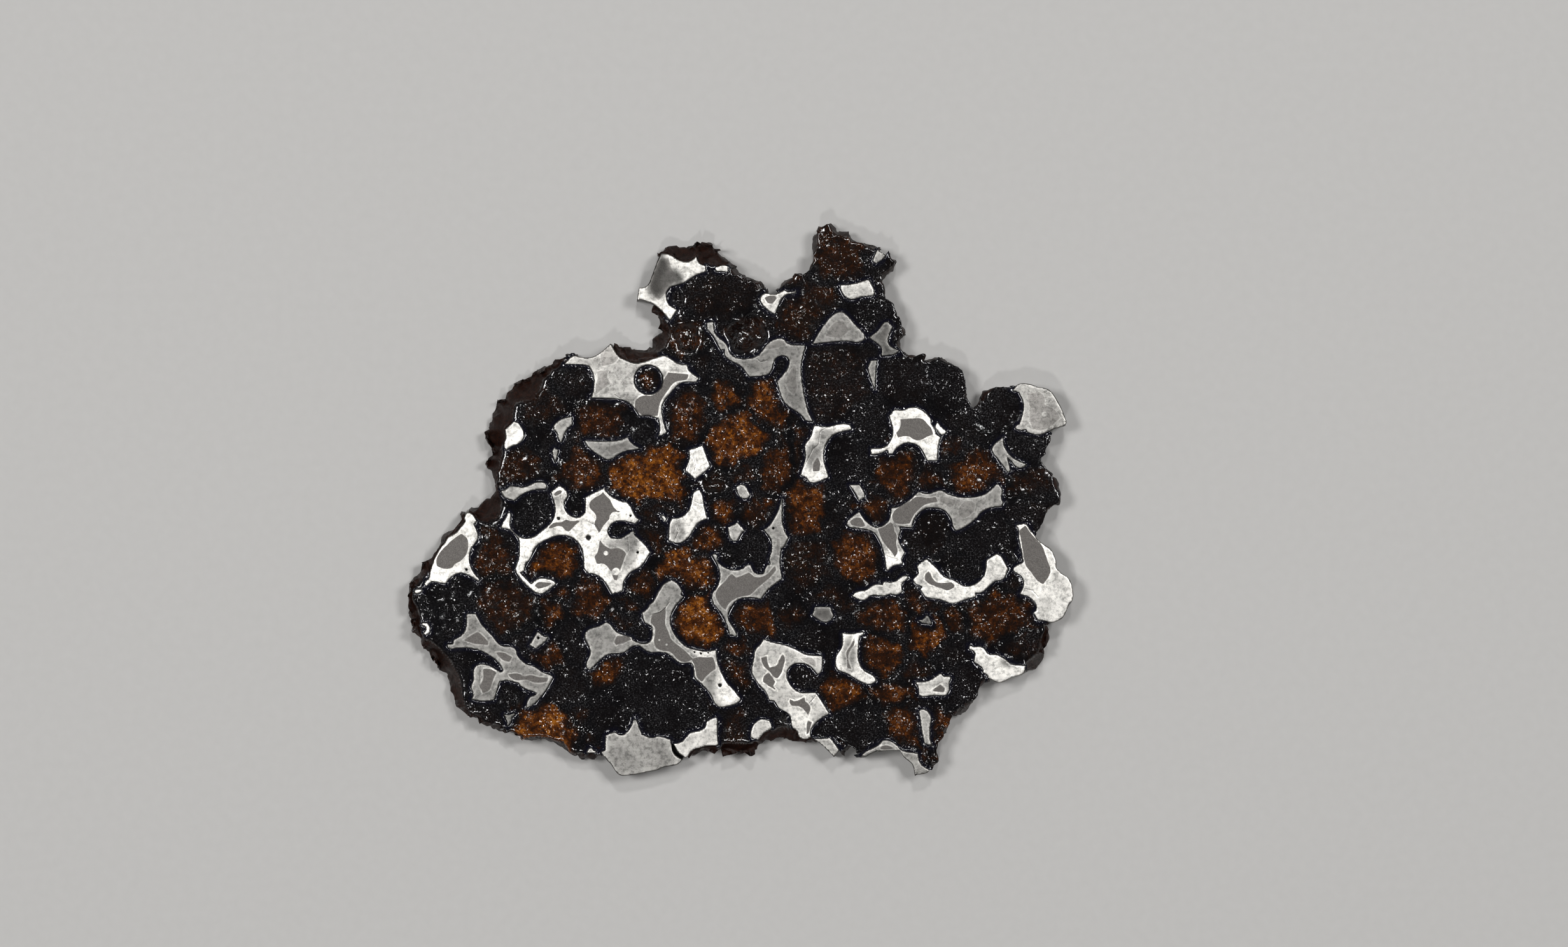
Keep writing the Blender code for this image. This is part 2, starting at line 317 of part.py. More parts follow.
        (-34.17, -7.06), (-33.97, -6.55), (-33.77, -6.04), (-33.5, -5.63), (-33.1, -5.1), (-32.8, -4.6),
        (-32.5, -4.2), (-31.88, -3.9), (-31.47, -3.5), (-31.06, -3.08), (-30.76, -2.67), (-30.45, -2.27)],
    "metal_left_network": [
        (-21.02, 1.0), (-20.73, 1.33), (-20.33, 1.57), (-20.08, 1.73), (-19.67, 1.5), (-19.35, 1.16),
        (-19.3, 0.76), (-19.17, 0.5), (-19.35, 0.18), (-19.5, -0.06), (-19.53, -0.55), (-19.43, -1.0),
        (-19.1, -1.45), (-18.7, -1.7), (-17.96, -1.82), (-17.55, -1.65), (-17.22, -1.29), (-17.16, -0.7),
        (-17.14, -0.06), (-17.18, 0.43), (-16.9, 0.67), (-16.4, 0.88), (-15.9, 1.04), (-15.43, 1.29),
        (-15.06, 1.47), (-14.98, 1.16), (-14.6, 0.84), (-14.2, 0.5), (-13.7, 0.18), (-13.2, -0.06),
        (-12.65, -0.14), (-12.4, -0.55), (-12.16, -1.0), (-11.84, -1.45), (-11.5, -1.86), (-11.2, -2.1),
        (-11.4, -2.4), (-11.65, -2.55), (-12.06, -2.5), (-12.47, -2.3), (-12.98, -2.2), (-13.6, -2.23),
        (-14.1, -2.4), (-14.5, -2.8), (-14.7, -3.2), (-14.66, -3.7), (-14.36, -4.1), (-13.9, -4.2),
        (-13.4, -4.15), (-12.98, -3.95), (-12.47, -3.6), (-11.96, -3.3), (-11.7, -3.4), (-11.8, -3.7),
        (-11.5, -3.9), (-11.25, -4.1), (-10.94, -4.4), (-10.5, -4.97), (-10.17, -5.4), (-9.99, -5.7),
        (-10.2, -6.04), (-10.53, -6.35), (-10.84, -6.86), (-11.14, -7.3), (-11.65, -7.67),
        (-12.16, -7.88), (-12.57, -8.3), (-12.88, -8.8), (-13.03, -9.4), (-13.1, -10.0), (-13.9, -10.17),
        (-14.25, -10.3), (-14.7, -9.7), (-15.0, -9.1), (-15.43, -8.54), (-15.94, -8.2), (-16.45, -8.03),
        (-16.86, -8.03), (-17.0, -7.7), (-17.3, -7.47), (-17.37, -6.96), (-17.37, -6.35), (-17.47, -5.7),
        (-17.67, -5.1), (-17.98, -4.6), (-18.5, -4.15), (-19.0, -3.92), (-19.7, -3.8), (-20.45, -3.9),
        (-21.06, -4.1), (-21.67, -4.4), (-22.2, -4.77), (-22.7, -5.1), (-23.0, -5.53), (-23.26, -6.04),
        (-23.4, -6.55), (-23.7, -6.8), (-23.63, -7.0), (-23.77, -7.37), (-24.0, -7.78), (-24.43, -7.93),
        (-24.2, -8.2), (-23.8, -8.7), (-23.5, -9.05), (-23.2, -9.2), (-22.9, -9.0), (-22.5, -8.64),
        (-21.9, -8.56), (-21.16, -8.7), (-20.65, -8.9), (-20.45, -9.2), (-20.86, -9.6), (-21.57, -10.07),
        (-22.1, -10.28), (-22.6, -10.17), (-22.9, -9.87), (-23.4, -9.6), (-23.9, -9.2), (-24.3, -8.7),
        (-24.7, -8.2), (-24.8, -7.88), (-24.94, -7.57), (-24.84, -7.06), (-24.6, -6.55), (-24.48, -5.94),
        (-24.48, -5.3), (-24.5, -4.7), (-24.6, -4.2), (-24.94, -3.85), (-25.35, -3.5), (-25.65, -3.18),
        (-26.16, -3.08), (-26.6, -2.98), (-26.57, -2.67), (-26.37, -2.27), (-26.1, -1.86),
        (-25.86, -1.45), (-25.65, -1.17), (-25.5, -1.45), (-25.55, -2.27), (-25.5, -2.9), (-25.2, -3.35),
        (-24.8, -3.75), (-24.5, -4.0), (-24.0, -4.15), (-23.5, -4.15), (-23.0, -4.0), (-22.5, -3.7),
        (-21.98, -3.3), (-21.47, -2.88), (-21.06, -2.37), (-20.76, -2.06), (-20.55, -1.45),
        (-20.55, -0.84), (-20.65, -0.22), (-20.86, 0.4)],
    "metal_lower_left_star": [
        (-30.35, -12.47), (-29.3, -12.47), (-29.0, -12.98), (-28.7, -13.6), (-28.3, -14.1),
        (-27.6, -14.8), (-27.08, -15.4), (-26.57, -15.94), (-25.65, -16.04), (-25.14, -16.24),
        (-24.84, -16.55), (-24.73, -17.06), (-24.33, -17.57), (-23.8, -17.98), (-23.3, -18.23),
        (-22.8, -18.34), (-22.4, -18.64), (-21.9, -18.95), (-21.27, -19.15), (-20.86, -19.4),
        (-20.76, -19.6), (-21.0, -20.0), (-21.27, -20.53), (-21.67, -21.04), (-22.08, -21.65),
        (-22.6, -22.27), (-23.1, -22.67), (-23.6, -22.9), (-23.8, -22.8), (-23.6, -22.37),
        (-23.4, -21.76), (-23.1, -21.55), (-22.7, -21.45), (-22.64, -21.24), (-23.1, -21.1),
        (-23.3, -20.94), (-23.8, -20.63), (-24.43, -20.43), (-24.53, -20.2), (-25.24, -20.07),
        (-25.96, -19.87), (-26.67, -20.0), (-26.88, -20.53), (-27.08, -21.04), (-27.18, -21.65),
        (-27.29, -22.06), (-27.8, -22.1), (-28.6, -22.16), (-29.3, -22.1), (-29.84, -21.96),
        (-29.63, -21.55), (-29.84, -20.5), (-29.63, -20.0), (-29.6, -19.2), (-29.5, -18.5),
        (-29.1, -18.13), (-28.6, -18.2), (-28.1, -18.13), (-27.7, -18.3), (-27.2, -18.6),
        (-26.57, -18.95), (-26.3, -18.8), (-26.67, -18.1), (-27.2, -17.57), (-27.7, -17.16),
        (-28.3, -16.86), (-29.0, -16.55), (-29.4, -16.4), (-30.96, -16.4), (-31.47, -16.3),
        (-31.98, -16.4), (-32.4, -16.24), (-32.54, -15.84), (-31.88, -15.84), (-31.77, -15.43),
        (-31.47, -15.2), (-30.96, -14.9), (-30.7, -14.6), (-30.45, -14.1), (-30.5, -13.7),
        (-30.35, -13.3), (-30.4, -12.8)],
    "metal_small_star": [
        (-22.5, -14.4), (-22.08, -14.8), (-21.67, -15.0), (-21.27, -15.0), (-21.57, -15.5),
        (-22.08, -15.84), (-22.4, -16.0), (-22.7, -16.35), (-23.0, -16.24), (-23.4, -15.99),
        (-23.1, -15.6), (-22.9, -15.1), (-22.7, -14.8)],
    "metal_left_edge_fleck": [
        (-36.2, -10.07), (-35.95, -9.8), (-35.24, -9.77), (-35.3, -10.07), (-35.9, -10.26)],
    "metal_left_edge_hook": [
        (-35.3, -13.45), (-34.7, -13.5), (-34.38, -14.0), (-34.43, -14.6), (-34.84, -14.85),
        (-35.2, -14.65), (-34.85, -14.35), (-34.85, -13.95), (-35.25, -13.75)],
    "metal_lower_left_spur": [
        (-26.27, -23.6), (-25.96, -23.7), (-25.65, -23.64), (-25.04, -23.4), (-24.94, -23.64),
        (-25.35, -24.1), (-25.45, -24.6), (-25.86, -24.97), (-25.9, -24.4), (-26.16, -23.9)],
    "metal_lower_band": [
        (-14.9, -13.4), (-15.2, -13.6), (-15.6, -13.8), (-16.1, -14.0), (-16.96, -14.3), (-17.27, -14.8),
        (-17.06, -15.3), (-16.8, -16.04), (-16.65, -16.76), (-16.8, -17.37), (-17.1, -18.08),
        (-17.06, -18.5), (-16.65, -18.7), (-16.35, -18.5), (-15.94, -17.98), (-15.4, -17.5),
        (-14.8, -17.06), (-14.1, -16.86), (-13.4, -16.76), (-12.88, -16.76), (-12.47, -16.4),
        (-11.96, -16.1), (-11.45, -15.99), (-11.04, -16.1), (-10.6, -16.45), (-10.2, -16.7),
        (-9.7, -16.76), (-9.2, -16.78), (-8.4, -16.8), (-7.88, -17.06), (-7.47, -17.47), (-7.06, -17.78),
        (-6.55, -17.98), (-6.04, -17.93), (-5.63, -17.93), (-5.3, -18.2), (-5.17, -18.6), (-5.2, -19.1),
        (-5.1, -19.56), (-4.8, -19.9), (-4.3, -20.3), (-3.8, -20.8), (-3.4, -21.35), (-2.98, -21.96),
        (-2.78, -22.5), (-2.47, -22.78), (-1.76, -22.78), (-1.04, -22.5), (-0.12, -22.16), (0.0, -21.9),
        (-0.43, -21.35), (-0.94, -20.73), (-1.55, -20.1), (-1.86, -19.4), (-2.16, -18.9), (-2.47, -18.3),
        (-2.57, -17.78), (-2.67, -17.06), (-2.72, -16.45), (-3.08, -16.55), (-3.7, -16.65), (-4.4, -16.6),
        (-5.0, -16.45), (-5.5, -16.35), (-6.04, -16.1), (-6.55, -15.6), (-7.06, -15.1), (-7.47, -14.5),
        (-7.67, -14.0), (-7.75, -13.6), (-7.8, -13.08), (-7.67, -12.47), (-7.37, -11.86), (-6.96, -11.35),
        (-6.55, -10.94), (-6.3, -10.6), (-6.6, -10.4), (-6.5, -10.0), (-6.76, -9.5), (-7.16, -9.0),
        (-7.67, -8.75), (-7.98, -8.8), (-8.4, -9.1), (-8.8, -9.5), (-9.1, -10.0), (-9.5, -10.6),
        (-9.7, -11.14), (-10.1, -11.45), (-10.3, -11.86), (-10.7, -12.16), (-10.94, -12.37),
        (-10.84, -12.98), (-10.6, -13.5), (-10.0, -13.8), (-9.8, -14.3), (-9.8, -14.9), (-9.97, -15.4),
        (-10.3, -15.7), (-10.84, -15.8), (-11.2, -15.7), (-11.65, -15.5), (-11.96, -15.4),
        (-12.06, -15.1), (-12.67, -14.9), (-13.3, -14.66), (-13.7, -14.5), (-14.1, -14.0), (-14.5, -13.6)],
    "metal_left_foot": [
        (-14.97, -25.94), (-14.5, -25.7), (-13.9, -25.6), (-13.4, -25.9), (-12.88, -25.8),
        (-12.47, -25.4), (-12.06, -24.8), (-11.9, -24.2), (-11.55, -24.2), (-11.4, -24.8),
        (-11.25, -25.3), (-10.94, -25.84), (-10.4, -26.1), (-9.8, -26.2), (-9.2, -26.04), (-8.6, -26.1),
        (-7.98, -26.24), (-7.75, -26.4), (-7.7, -26.96), (-7.57, -27.57), (-7.28, -28.1), (-6.85, -28.45),
        (-6.45, -28.65), (-6.65, -28.9), (-6.96, -29.15), (-7.37, -29.3), (-7.98, -29.36), (-8.6, -29.5),
        (-9.2, -29.77), (-10.0, -29.87), (-10.33, -30.0), (-11.04, -30.2), (-11.86, -30.3),
        (-12.5, -30.45), (-13.13, -30.43), (-13.44, -30.4), (-13.64, -30.2), (-13.95, -29.8),
        (-14.25, -29.4), (-14.5, -29.0), (-14.8, -28.7), (-15.1, -28.5), (-15.4, -28.0), (-15.5, -27.8),
        (-15.0, -27.57), (-14.9, -26.86), (-15.0, -26.24)],
    "metal_left_foot_fleck": [
        (-17.1, -27.93), (-16.86, -27.47), (-16.55, -27.27), (-16.3, -27.57), (-15.9, -27.83),
        (-16.35, -27.88)],
    "metal_foot_strip": [
        (-7.45, -26.9), (-7.16, -26.86), (-6.55, -26.65), (-6.04, -26.24), (-5.63, -25.7), (-5.2, -25.5),
        (-4.5, -25.4), (-3.9, -25.0), (-3.8, -24.5), (-3.3, -24.3), (-2.78, -23.9), (-2.57, -24.05),
        (-2.55, -25.2), (-2.57, -26.04), (-2.47, -27.06), (-3.08, -27.06), (-3.7, -27.1), (-4.4, -27.2),
        (-5.1, -27.47), (-5.63, -27.88), (-5.84, -28.3), (-6.1, -28.42), (-6.5, -28.2), (-6.9, -27.85),
        (-7.2, -27.4)],
    "metal_leaf": [
        (-5.1, 1.05), (-4.7, 1.25), (-4.35, 0.9), (-4.2, 0.4), (-4.1, -0.33), (-4.05, -0.94),
        (-3.9, -1.45), (-3.7, -1.96), (-4.15, -2.16), (-4.6, -2.37), (-5.0, -2.78), (-5.3, -3.2),
        (-5.6, -3.6), (-5.84, -4.1), (-6.35, -4.5), (-6.96, -4.7), (-7.47, -4.6), (-7.98, -4.4),
        (-7.93, -4.1), (-8.03, -3.6), (-7.93, -3.08), (-7.88, -2.57), (-7.75, -2.2), (-7.67, -1.96),
        (-7.16, -1.9), (-6.55, -1.76), (-6.04, -1.4), (-5.7, -0.94), (-5.43, -0.33), (-5.3, 0.2)],
    "metal_leaf_fleck": [(-8.9, -1.57), (-8.5, -1.63), (-8.2, -1.96), (-8.35, -2.37), (-8.6, -2.06)],
    "metal_square": [
        (-1.45, -2.93), (-0.94, -2.67), (-0.33, -2.4), (-0.02, -2.67), (0.18, -3.08), (0.44, -3.3),
        (0.08, -3.6), (-0.07, -4.0), (-0.33, -4.4), (-0.84, -4.43), (-1.14, -4.2), (-1.2, -3.7),
        (-1.4, -3.4)],
    "metal_centre": [
        (-3.2, -5.94), (-2.88, -5.8), (-2.57, -6.04), (-2.6, -6.55), (-2.3, -7.0), (-1.86, -7.3),
        (-1.14, -7.57), (-0.43, -7.65), (0.22, -7.45), (0.73, -7.06), (1.1, -7.06), (1.24, -7.47),
        (1.45, -7.83), (1.96, -8.08), (2.47, -8.03), (2.7, -7.78), (2.78, -7.37), (2.93, -7.06),
        (3.3, -7.0), (3.13, -6.6), (3.3, -6.14), (3.4, -5.53), (3.44, -4.9), (3.34, -4.3), (3.08, -3.7),
        (2.78, -3.4), (2.47, -3.13), (2.93, -2.93), (3.18, -2.57), (3.5, -2.16), (3.8, -1.86),
        (4.0, -1.35), (4.2, -0.73), (4.4, -0.12), (4.6, 0.45), (4.65, -0.33), (4.6, -1.04), (4.58, -1.65),
        (4.62, -2.27), (4.77, -2.88), (4.9, -3.4), (5.1, -3.85), (5.3, -4.1), (5.1, -4.4), (4.9, -4.7),
        (4.7, -5.17), (4.5, -5.25), (4.4, -5.6), (4.36, -6.35), (4.36, -6.96), (4.4, -7.47), (4.5, -7.98),
        (4.6, -8.6), (4.3, -8.8), (3.9, -9.1), (3.4, -9.5), (2.98, -9.9), (2.67, -10.3), (2.5, -10.7),
        (2.27, -10.86), (1.76, -10.8), (1.04, -10.7), (0.43, -10.7), (-0.2, -10.9), (-0.6, -11.14),
        (-0.94, -11.55), (-1.24, -12.16), (-1.4, -12.78), (-1.24, -13.3), (-1.04, -13.7), (-0.73, -14.2),
        (-0.48, -14.7), (-0.48, -15.0), (-0.84, -15.0), (-1.24, -14.8), (-1.4, -14.3), (-1.5, -13.85),
        (-1.7, -13.3), (-2.06, -12.57), (-2.57, -11.86), (-3.08, -11.24), (-3.2, -10.6), (-3.08, -10.1),
        (-2.67, -9.6), (-2.47, -9.0), (-2.3, -8.4), (-2.35, -7.8), (-2.5, -7.3), (-2.85, -6.6)],
    "metal_oval": [
        (8.2, -11.7), (9.2, -11.67), (9.9, -11.7), (10.17, -12.16), (10.3, -12.67), (10.0, -13.2),
        (9.4, -13.44), (8.8, -13.3), (8.3, -13.0), (7.88, -12.67), (7.98, -12.16)],
    "metal_bar": [
        (11.24, -14.6), (11.76, -14.56), (12.27, -14.7), (12.98, -14.66), (13.5, -14.5), (13.64, -14.77),
        (13.2, -15.07), (13.2, -15.7), (13.03, -16.24), (12.98, -16.96), (13.03, -17.57), (13.2, -18.08),
        (13.5, -18.6), (14.0, -19.0), (14.5, -19.3), (14.9, -19.6), (15.0, -20.0), (14.7, -20.2),
        (14.2, -20.3), (13.7, -20.1), (13.08, -19.9), (12.47, -19.56), (11.86, -19.15), (11.24, -18.85),
        (10.7, -18.64), (10.5, -18.2), (10.6, -17.67), (10.58, -17.16), (10.94, -16.76), (11.2, -16.14),
        (11.24, -15.5)],
    "metal_lower_centre": [
        (1.45, -16.96), (1.65, -16.4), (2.0, -16.04), (2.3, -15.7), (2.5, -15.25), (2.88, -15.5),
        (3.4, -15.6), (4.1, -15.7), (4.7, -15.9), (5.3, -16.04), (5.94, -16.35), (6.55, -16.7),
        (7.16, -16.96), (7.88, -17.06), (8.6, -17.1), (9.05, -17.16), (8.95, -17.67), (8.95, -18.3),
        (8.9, -18.9), (8.54, -19.26), (8.2, -18.9), (7.78, -18.4), (7.27, -18.08), (6.65, -17.98),
        (6.04, -18.0), (5.53, -18.3), (5.17, -18.8), (5.1, -19.3), (5.2, -19.8), (5.53, -20.3),
        (5.94, -20.84), (6.45, -21.14), (7.16, -21.16), (7.88, -21.2), (8.3, -21.2), (8.6, -21.55),
        (8.9, -22.06), (9.2, -22.67), (9.5, -23.2), (9.84, -23.54), (9.4, -23.74), (9.0, -24.0),
        (8.6, -24.3), (8.2, -24.7), (7.88, -25.1), (7.7, -25.63), (7.78, -26.14), (7.37, -26.35),
        (6.76, -26.3), (6.4, -26.04), (6.24, -25.5), (5.73, -25.1), (5.7, -24.6), (5.5, -24.0),
        (5.2, -23.5), (4.7, -23.1), (4.2, -22.9), (4.0, -22.57), (3.7, -22.16), (3.18, -22.1),
        (3.03, -21.55), (2.67, -21.04), (2.16, -20.5), (1.76, -20.0), (1.4, -19.5), (1.2, -18.9),
        (1.3, -18.3), (1.4, -17.67)],
    "metal_bottom_chip": [
        (1.35, -25.2), (1.55, -24.6), (2.06, -24.3), (2.27, -24.15), (2.67, -24.3), (3.18, -24.3),
        (3.3, -24.8), (3.5, -25.17), (3.08, -25.3), (2.57, -25.7), (2.27, -26.14), (1.96, -26.47),
        (1.55, -26.3), (1.14, -26.2), (1.1, -25.7)],
    "metal_bottom_wedge": [
        (8.08, -26.35), (8.6, -26.3), (9.1, -26.2), (9.9, -26.2), (10.1, -26.55), (10.4, -27.06),
        (10.9, -27.57), (10.6, -27.98), (10.33, -28.34), (10.0, -28.08), (9.6, -27.6), (9.2, -27.16),
        (8.8, -26.86), (8.4, -26.65)],
    "metal_right_foot": [
        (13.4, -28.2), (13.5, -28.0), (14.0, -27.85), (14.5, -27.5), (14.9, -27.2), (15.3, -26.96),
        (15.7, -26.5), (16.35, -26.5), (16.86, -26.76), (17.37, -27.1), (17.67, -27.5), (18.2, -27.7),
        (19.0, -27.88), (19.6, -27.93), (19.63, -28.3), (19.8, -28.8), (20.14, -29.3), (20.65, -29.6),
        (20.9, -29.77), (20.76, -30.0), (20.3, -30.17), (19.28, -30.45), (19.12, -30.2), (19.07, -29.7),
        (18.97, -29.2), (18.6, -28.8), (18.05, -28.35), (17.78, -27.98), (17.57, -27.6), (17.06, -27.67),
        (16.35, -27.6), (15.5, -27.6), (14.9, -27.75), (14.3, -27.98), (13.75, -28.3)],
    "metal_right_bar": [
        (19.7, -23.3), (19.94, -23.03), (20.45, -23.1), (20.86, -23.44), (21.06, -23.85), (20.96, -24.3),
        (20.96, -25.0), (20.96, -25.84), (21.0, -26.55), (21.27, -27.16), (20.96, -27.1),
        (20.35, -26.86), (20.2, -26.24), (20.04, -25.5), (19.99, -24.7), (19.84, -24.0)],
    "metal_right_chip": [
        (19.3, -20.05), (19.7, -20.05), (20.04, -20.0), (20.76, -19.9), (21.27, -19.6), (21.67, -19.2),
        (22.1, -19.05), (22.5, -19.4), (23.1, -19.4), (23.3, -19.56), (23.1, -20.1), (23.05, -21.04),
        (22.7, -21.55), (21.67, -21.5), (20.96, -21.55), (20.24, -21.65), (19.73, -21.5),
        (19.7, -20.94), (19.6, -20.5)],
    "metal_right_band": [
        (11.65, -2.57), (11.86, -2.16), (12.37, -1.76), (12.78, -1.45), (13.1, -1.14), (13.4, -1.55),
        (13.8, -2.16), (14.3, -2.57), (14.8, -2.88), (15.4, -2.86), (15.94, -2.57), (16.35, -2.16),
        (16.6, -1.55), (16.6, -1.04), (16.7, -0.7), (17.27, -0.7), (17.88, -0.35), (18.45, -0.06),
        (19.0, 0.35), (19.43, 0.92), (19.67, 1.04), (20.08, 0.96), (20.65, 0.8), (21.2, 0.84),
        (21.7, 1.04), (22.16, 1.18), (22.5, 1.0), (23.1, 0.71), (23.67, 0.55), (24.4, 0.4),
        (25.06, 0.43), (25.8, 0.43), (26.5, 0.6), (27.0, 0.76), (27.4, 1.16), (27.9, 1.6), (28.4, 1.94),
        (28.7, 1.73), (28.94, 1.33), (28.9, 0.76), (28.86, 0.27), (29.02, -0.14), (28.9, -0.65),
        (28.2, -0.68), (27.5, -0.8), (26.98, -1.04), (26.57, -1.35), (26.27, -1.76), (25.96, -2.06),
        (25.55, -2.37), (25.14, -2.67), (24.73, -2.93), (24.2, -3.2), (23.9, -3.3), (23.6, -3.08),
        (23.46, -2.57), (23.3, -2.06), (23.0, -1.55), (22.5, -1.04), (21.88, -0.84), (21.27, -0.76),
        (20.55, -0.84), (19.94, -1.14), (19.53, -1.55), (19.2, -2.06), (19.0, -2.57), (18.97, -2.98),
        (18.4, -2.98), (18.0, -2.9), (17.57, -2.85), (17.7, -3.2), (17.57, -3.6), (17.47, -4.2),
        (17.8, -4.8), (18.08, -5.3), (18.2, -5.7), (17.98, -6.14), (17.8, -6.55), (17.98, -6.96),
        (17.37, -7.06), (16.76, -7.27), (16.35, -7.67), (16.1, -7.67), (16.04, -6.96), (15.94, -6.24),
        (15.73, -5.53), (15.53, -4.8), (15.2, -4.1), (14.7, -3.5), (14.1, -3.2), (13.4, -3.08),
        (12.67, -3.03), (12.06, -2.93)],
    "metal_white_strip": [
        (12.27, -10.5), (12.78, -10.1), (13.3, -9.97), (14.0, -9.8), (14.5, -9.4), (15.1, -9.2),
        (15.7, -9.3), (15.8, -8.95), (16.35, -8.85), (16.96, -8.95), (17.37, -8.6), (17.98, -8.3),
        (18.45, -8.25), (18.55, -8.55), (18.2, -8.9), (17.88, -9.2), (17.88, -9.7), (17.88, -10.1),
        (17.27, -10.4), (16.55, -10.3), (15.94, -10.5), (15.1, -10.4), (14.4, -10.5), (13.8, -10.94),
        (13.2, -10.94), (12.67, -10.7)],
    "metal_tiny_star": [
        (20.55, -12.57), (20.9, -12.9), (20.96, -13.3), (21.16, -13.7), (20.65, -13.7), (20.04, -13.5),
        (19.6, -13.2), (20.14, -13.08)],
    "metal_curved_strip": [
        (19.5, -7.16), (19.8, -6.8), (20.2, -6.55), (20.55, -6.37), (20.8, -6.65), (21.16, -6.96),
        (21.57, -7.27), (21.98, -7.78), (22.4, -8.3), (22.9, -8.6), (23.5, -8.75), (24.1, -9.05),
        (24.6, -9.36), (25.04, -9.46), (25.55, -9.3), (26.16, -9.05), (26.67, -8.6), (27.03, -7.98),
        (27.13, -7.37), (27.2, -6.55), (27.7, -6.14), (28.3, -5.86), (28.7, -6.04), (29.0, -6.55),
        (29.3, -7.06), (29.6, -7.57), (29.35, -8.08), (29.0, -8.7), (28.2, -8.9), (28.0, -9.2),
        (27.5, -9.5), (26.98, -9.9), (26.47, -10.2), (25.96, -10.2), (26.06, -10.6), (25.55, -10.84),
        (24.94, -10.9), (24.2, -11.24), (23.5, -11.35), (22.8, -11.14), (21.98, -10.9), (21.06, -10.7),
        (20.45, -10.6), (20.04, -10.1), (19.84, -9.8), (20.1, -9.5), (19.84, -9.3), (19.2, -9.05),
        (19.07, -8.7), (19.43, -8.3), (19.7, -7.98), (19.6, -7.57)],
    "metal_right_edge": [
        (30.45, -2.67), (31.06, -2.5), (31.57, -2.5), (31.88, -2.78), (32.2, -3.4), (32.5, -3.9),
        (32.9, -4.3), (33.3, -4.66), (33.6, -4.87), (34.1, -5.15), (34.4, -5.5), (34.7, -6.1),
        (34.9, -6.7), (34.95, -7.4), (35.24, -7.8), (35.55, -8.03), (35.96, -8.34), (36.27, -8.54),
        (36.45, -8.9), (36.5, -9.3), (36.67, -9.7), (36.8, -10.2), (36.88, -10.6), (36.75, -11.0),
        (36.4, -11.45), (36.2, -11.9), (35.95, -12.5), (35.8, -12.85), (35.3, -13.1), (34.7, -13.35),
        (33.9, -13.3), (33.3, -13.3), (32.9, -13.2), (32.6, -12.8), (32.4, -12.37), (32.7, -12.06),
        (32.7, -11.55), (32.4, -11.14), (31.98, -10.7), (31.37, -10.5), (30.86, -10.3), (30.96, -9.9),
        (31.27, -9.5), (31.3, -8.9), (31.06, -8.4), (30.55, -7.98), (30.1, -7.75), (30.25, -7.37),
        (30.86, -7.0), (31.27, -6.76), (31.27, -6.14), (31.06, -5.53), (30.9, -4.9), (30.76, -4.1),
        (30.76, -3.3)],
    "metal_lower_right": [
        (25.3, -15.95), (25.76, -16.14), (26.67, -16.14), (27.03, -16.55), (27.5, -16.96), (28.2, -17.0),
        (28.8, -17.27), (29.4, -17.57), (29.84, -17.98), (30.35, -18.13), (30.76, -18.2), (31.47, -18.25),
        (31.5, -18.6), (31.3, -19.05), (30.65, -19.25), (29.94, -19.53), (29.2, -19.82), (28.5, -20.12),
        (28.0, -19.95), (27.4, -19.6), (27.2, -19.2), (26.8, -19.0), (26.78, -18.6), (26.27, -18.13),
        (25.8, -17.83), (25.9, -17.37), (25.96, -16.86), (25.65, -16.55), (25.24, -16.45)],
}

# The one round crystal that sits wholly in metal, and the patch that holds it
LONE_CRYSTAL = "olivine_round_crystal"
LONE_CRYSTAL_IN = "metal_upper_left"
LONE_CRYSTAL_AT = (-10.2, 13.4)
LONE_CRYSTAL_SIZE = (1.6, 1.65)  # half its hole's width and height

# Hollows in the cut face, where crystals broke out: (x, y, half width, half height, turn in degrees, depth)
HOLLOWS = [
    (0.6, 18.35, 2.0, 2.1, 0, 1.5),
    (-6.0, 18.2, 1.5, 1.7, 20, 0.8),
    (-7.2, 22.5, 0.8, 1.3, -10, 0.7),
    (-3.3, 1.75, 1.1, 0.9, 20, 0.6),
    (5.0, -24.0, 0.55, 0.8, 0, 0.6),
]
HOLLOW_POINTS = 12

METAL_COLOUR = (0.58, 0.57, 0.54, 1.0)
CRYSTAL_COLOUR = (0.07, 0.035, 0.018, 1.0)


def thin(loop, tolerance):
    """The loop without the points that lie within the tolerance of the line between their neighbours."""
    loop = [np.array(p, float) for p in loop]
    dropped = True
    while dropped and len(loop) > 6:
        dropped = False
        kept = []
        skip = False
        for i, p in enumerate(loop):
            a = loop[i - 1]
            b = loop[(i + 1) % len(loop)]
            along = b - a
            off = abs(along[0] * (p - a)[1] - along[1] * (p - a)[0]) / max(np.hypot(*along), 1e-9)
            if off < tolerance and not skip and np.hypot(*along) < 2.2:
                skip = True
                dropped = True
                continue
            skip = False
            kept.append(p)
        loop = kept
    return np.array(loop)


def clockwise(loop):
    """The loop as an array, turned to run clockwise."""
    loop = np.asarray(loop, float)
    nxt = np.roll(loop, -1, axis=0)
    area = (loop[:, 0] * nxt[:, 1] - nxt[:, 0] * loop[:, 1]).sum() / 2
    return loop[::-1] if area > 0 else loop


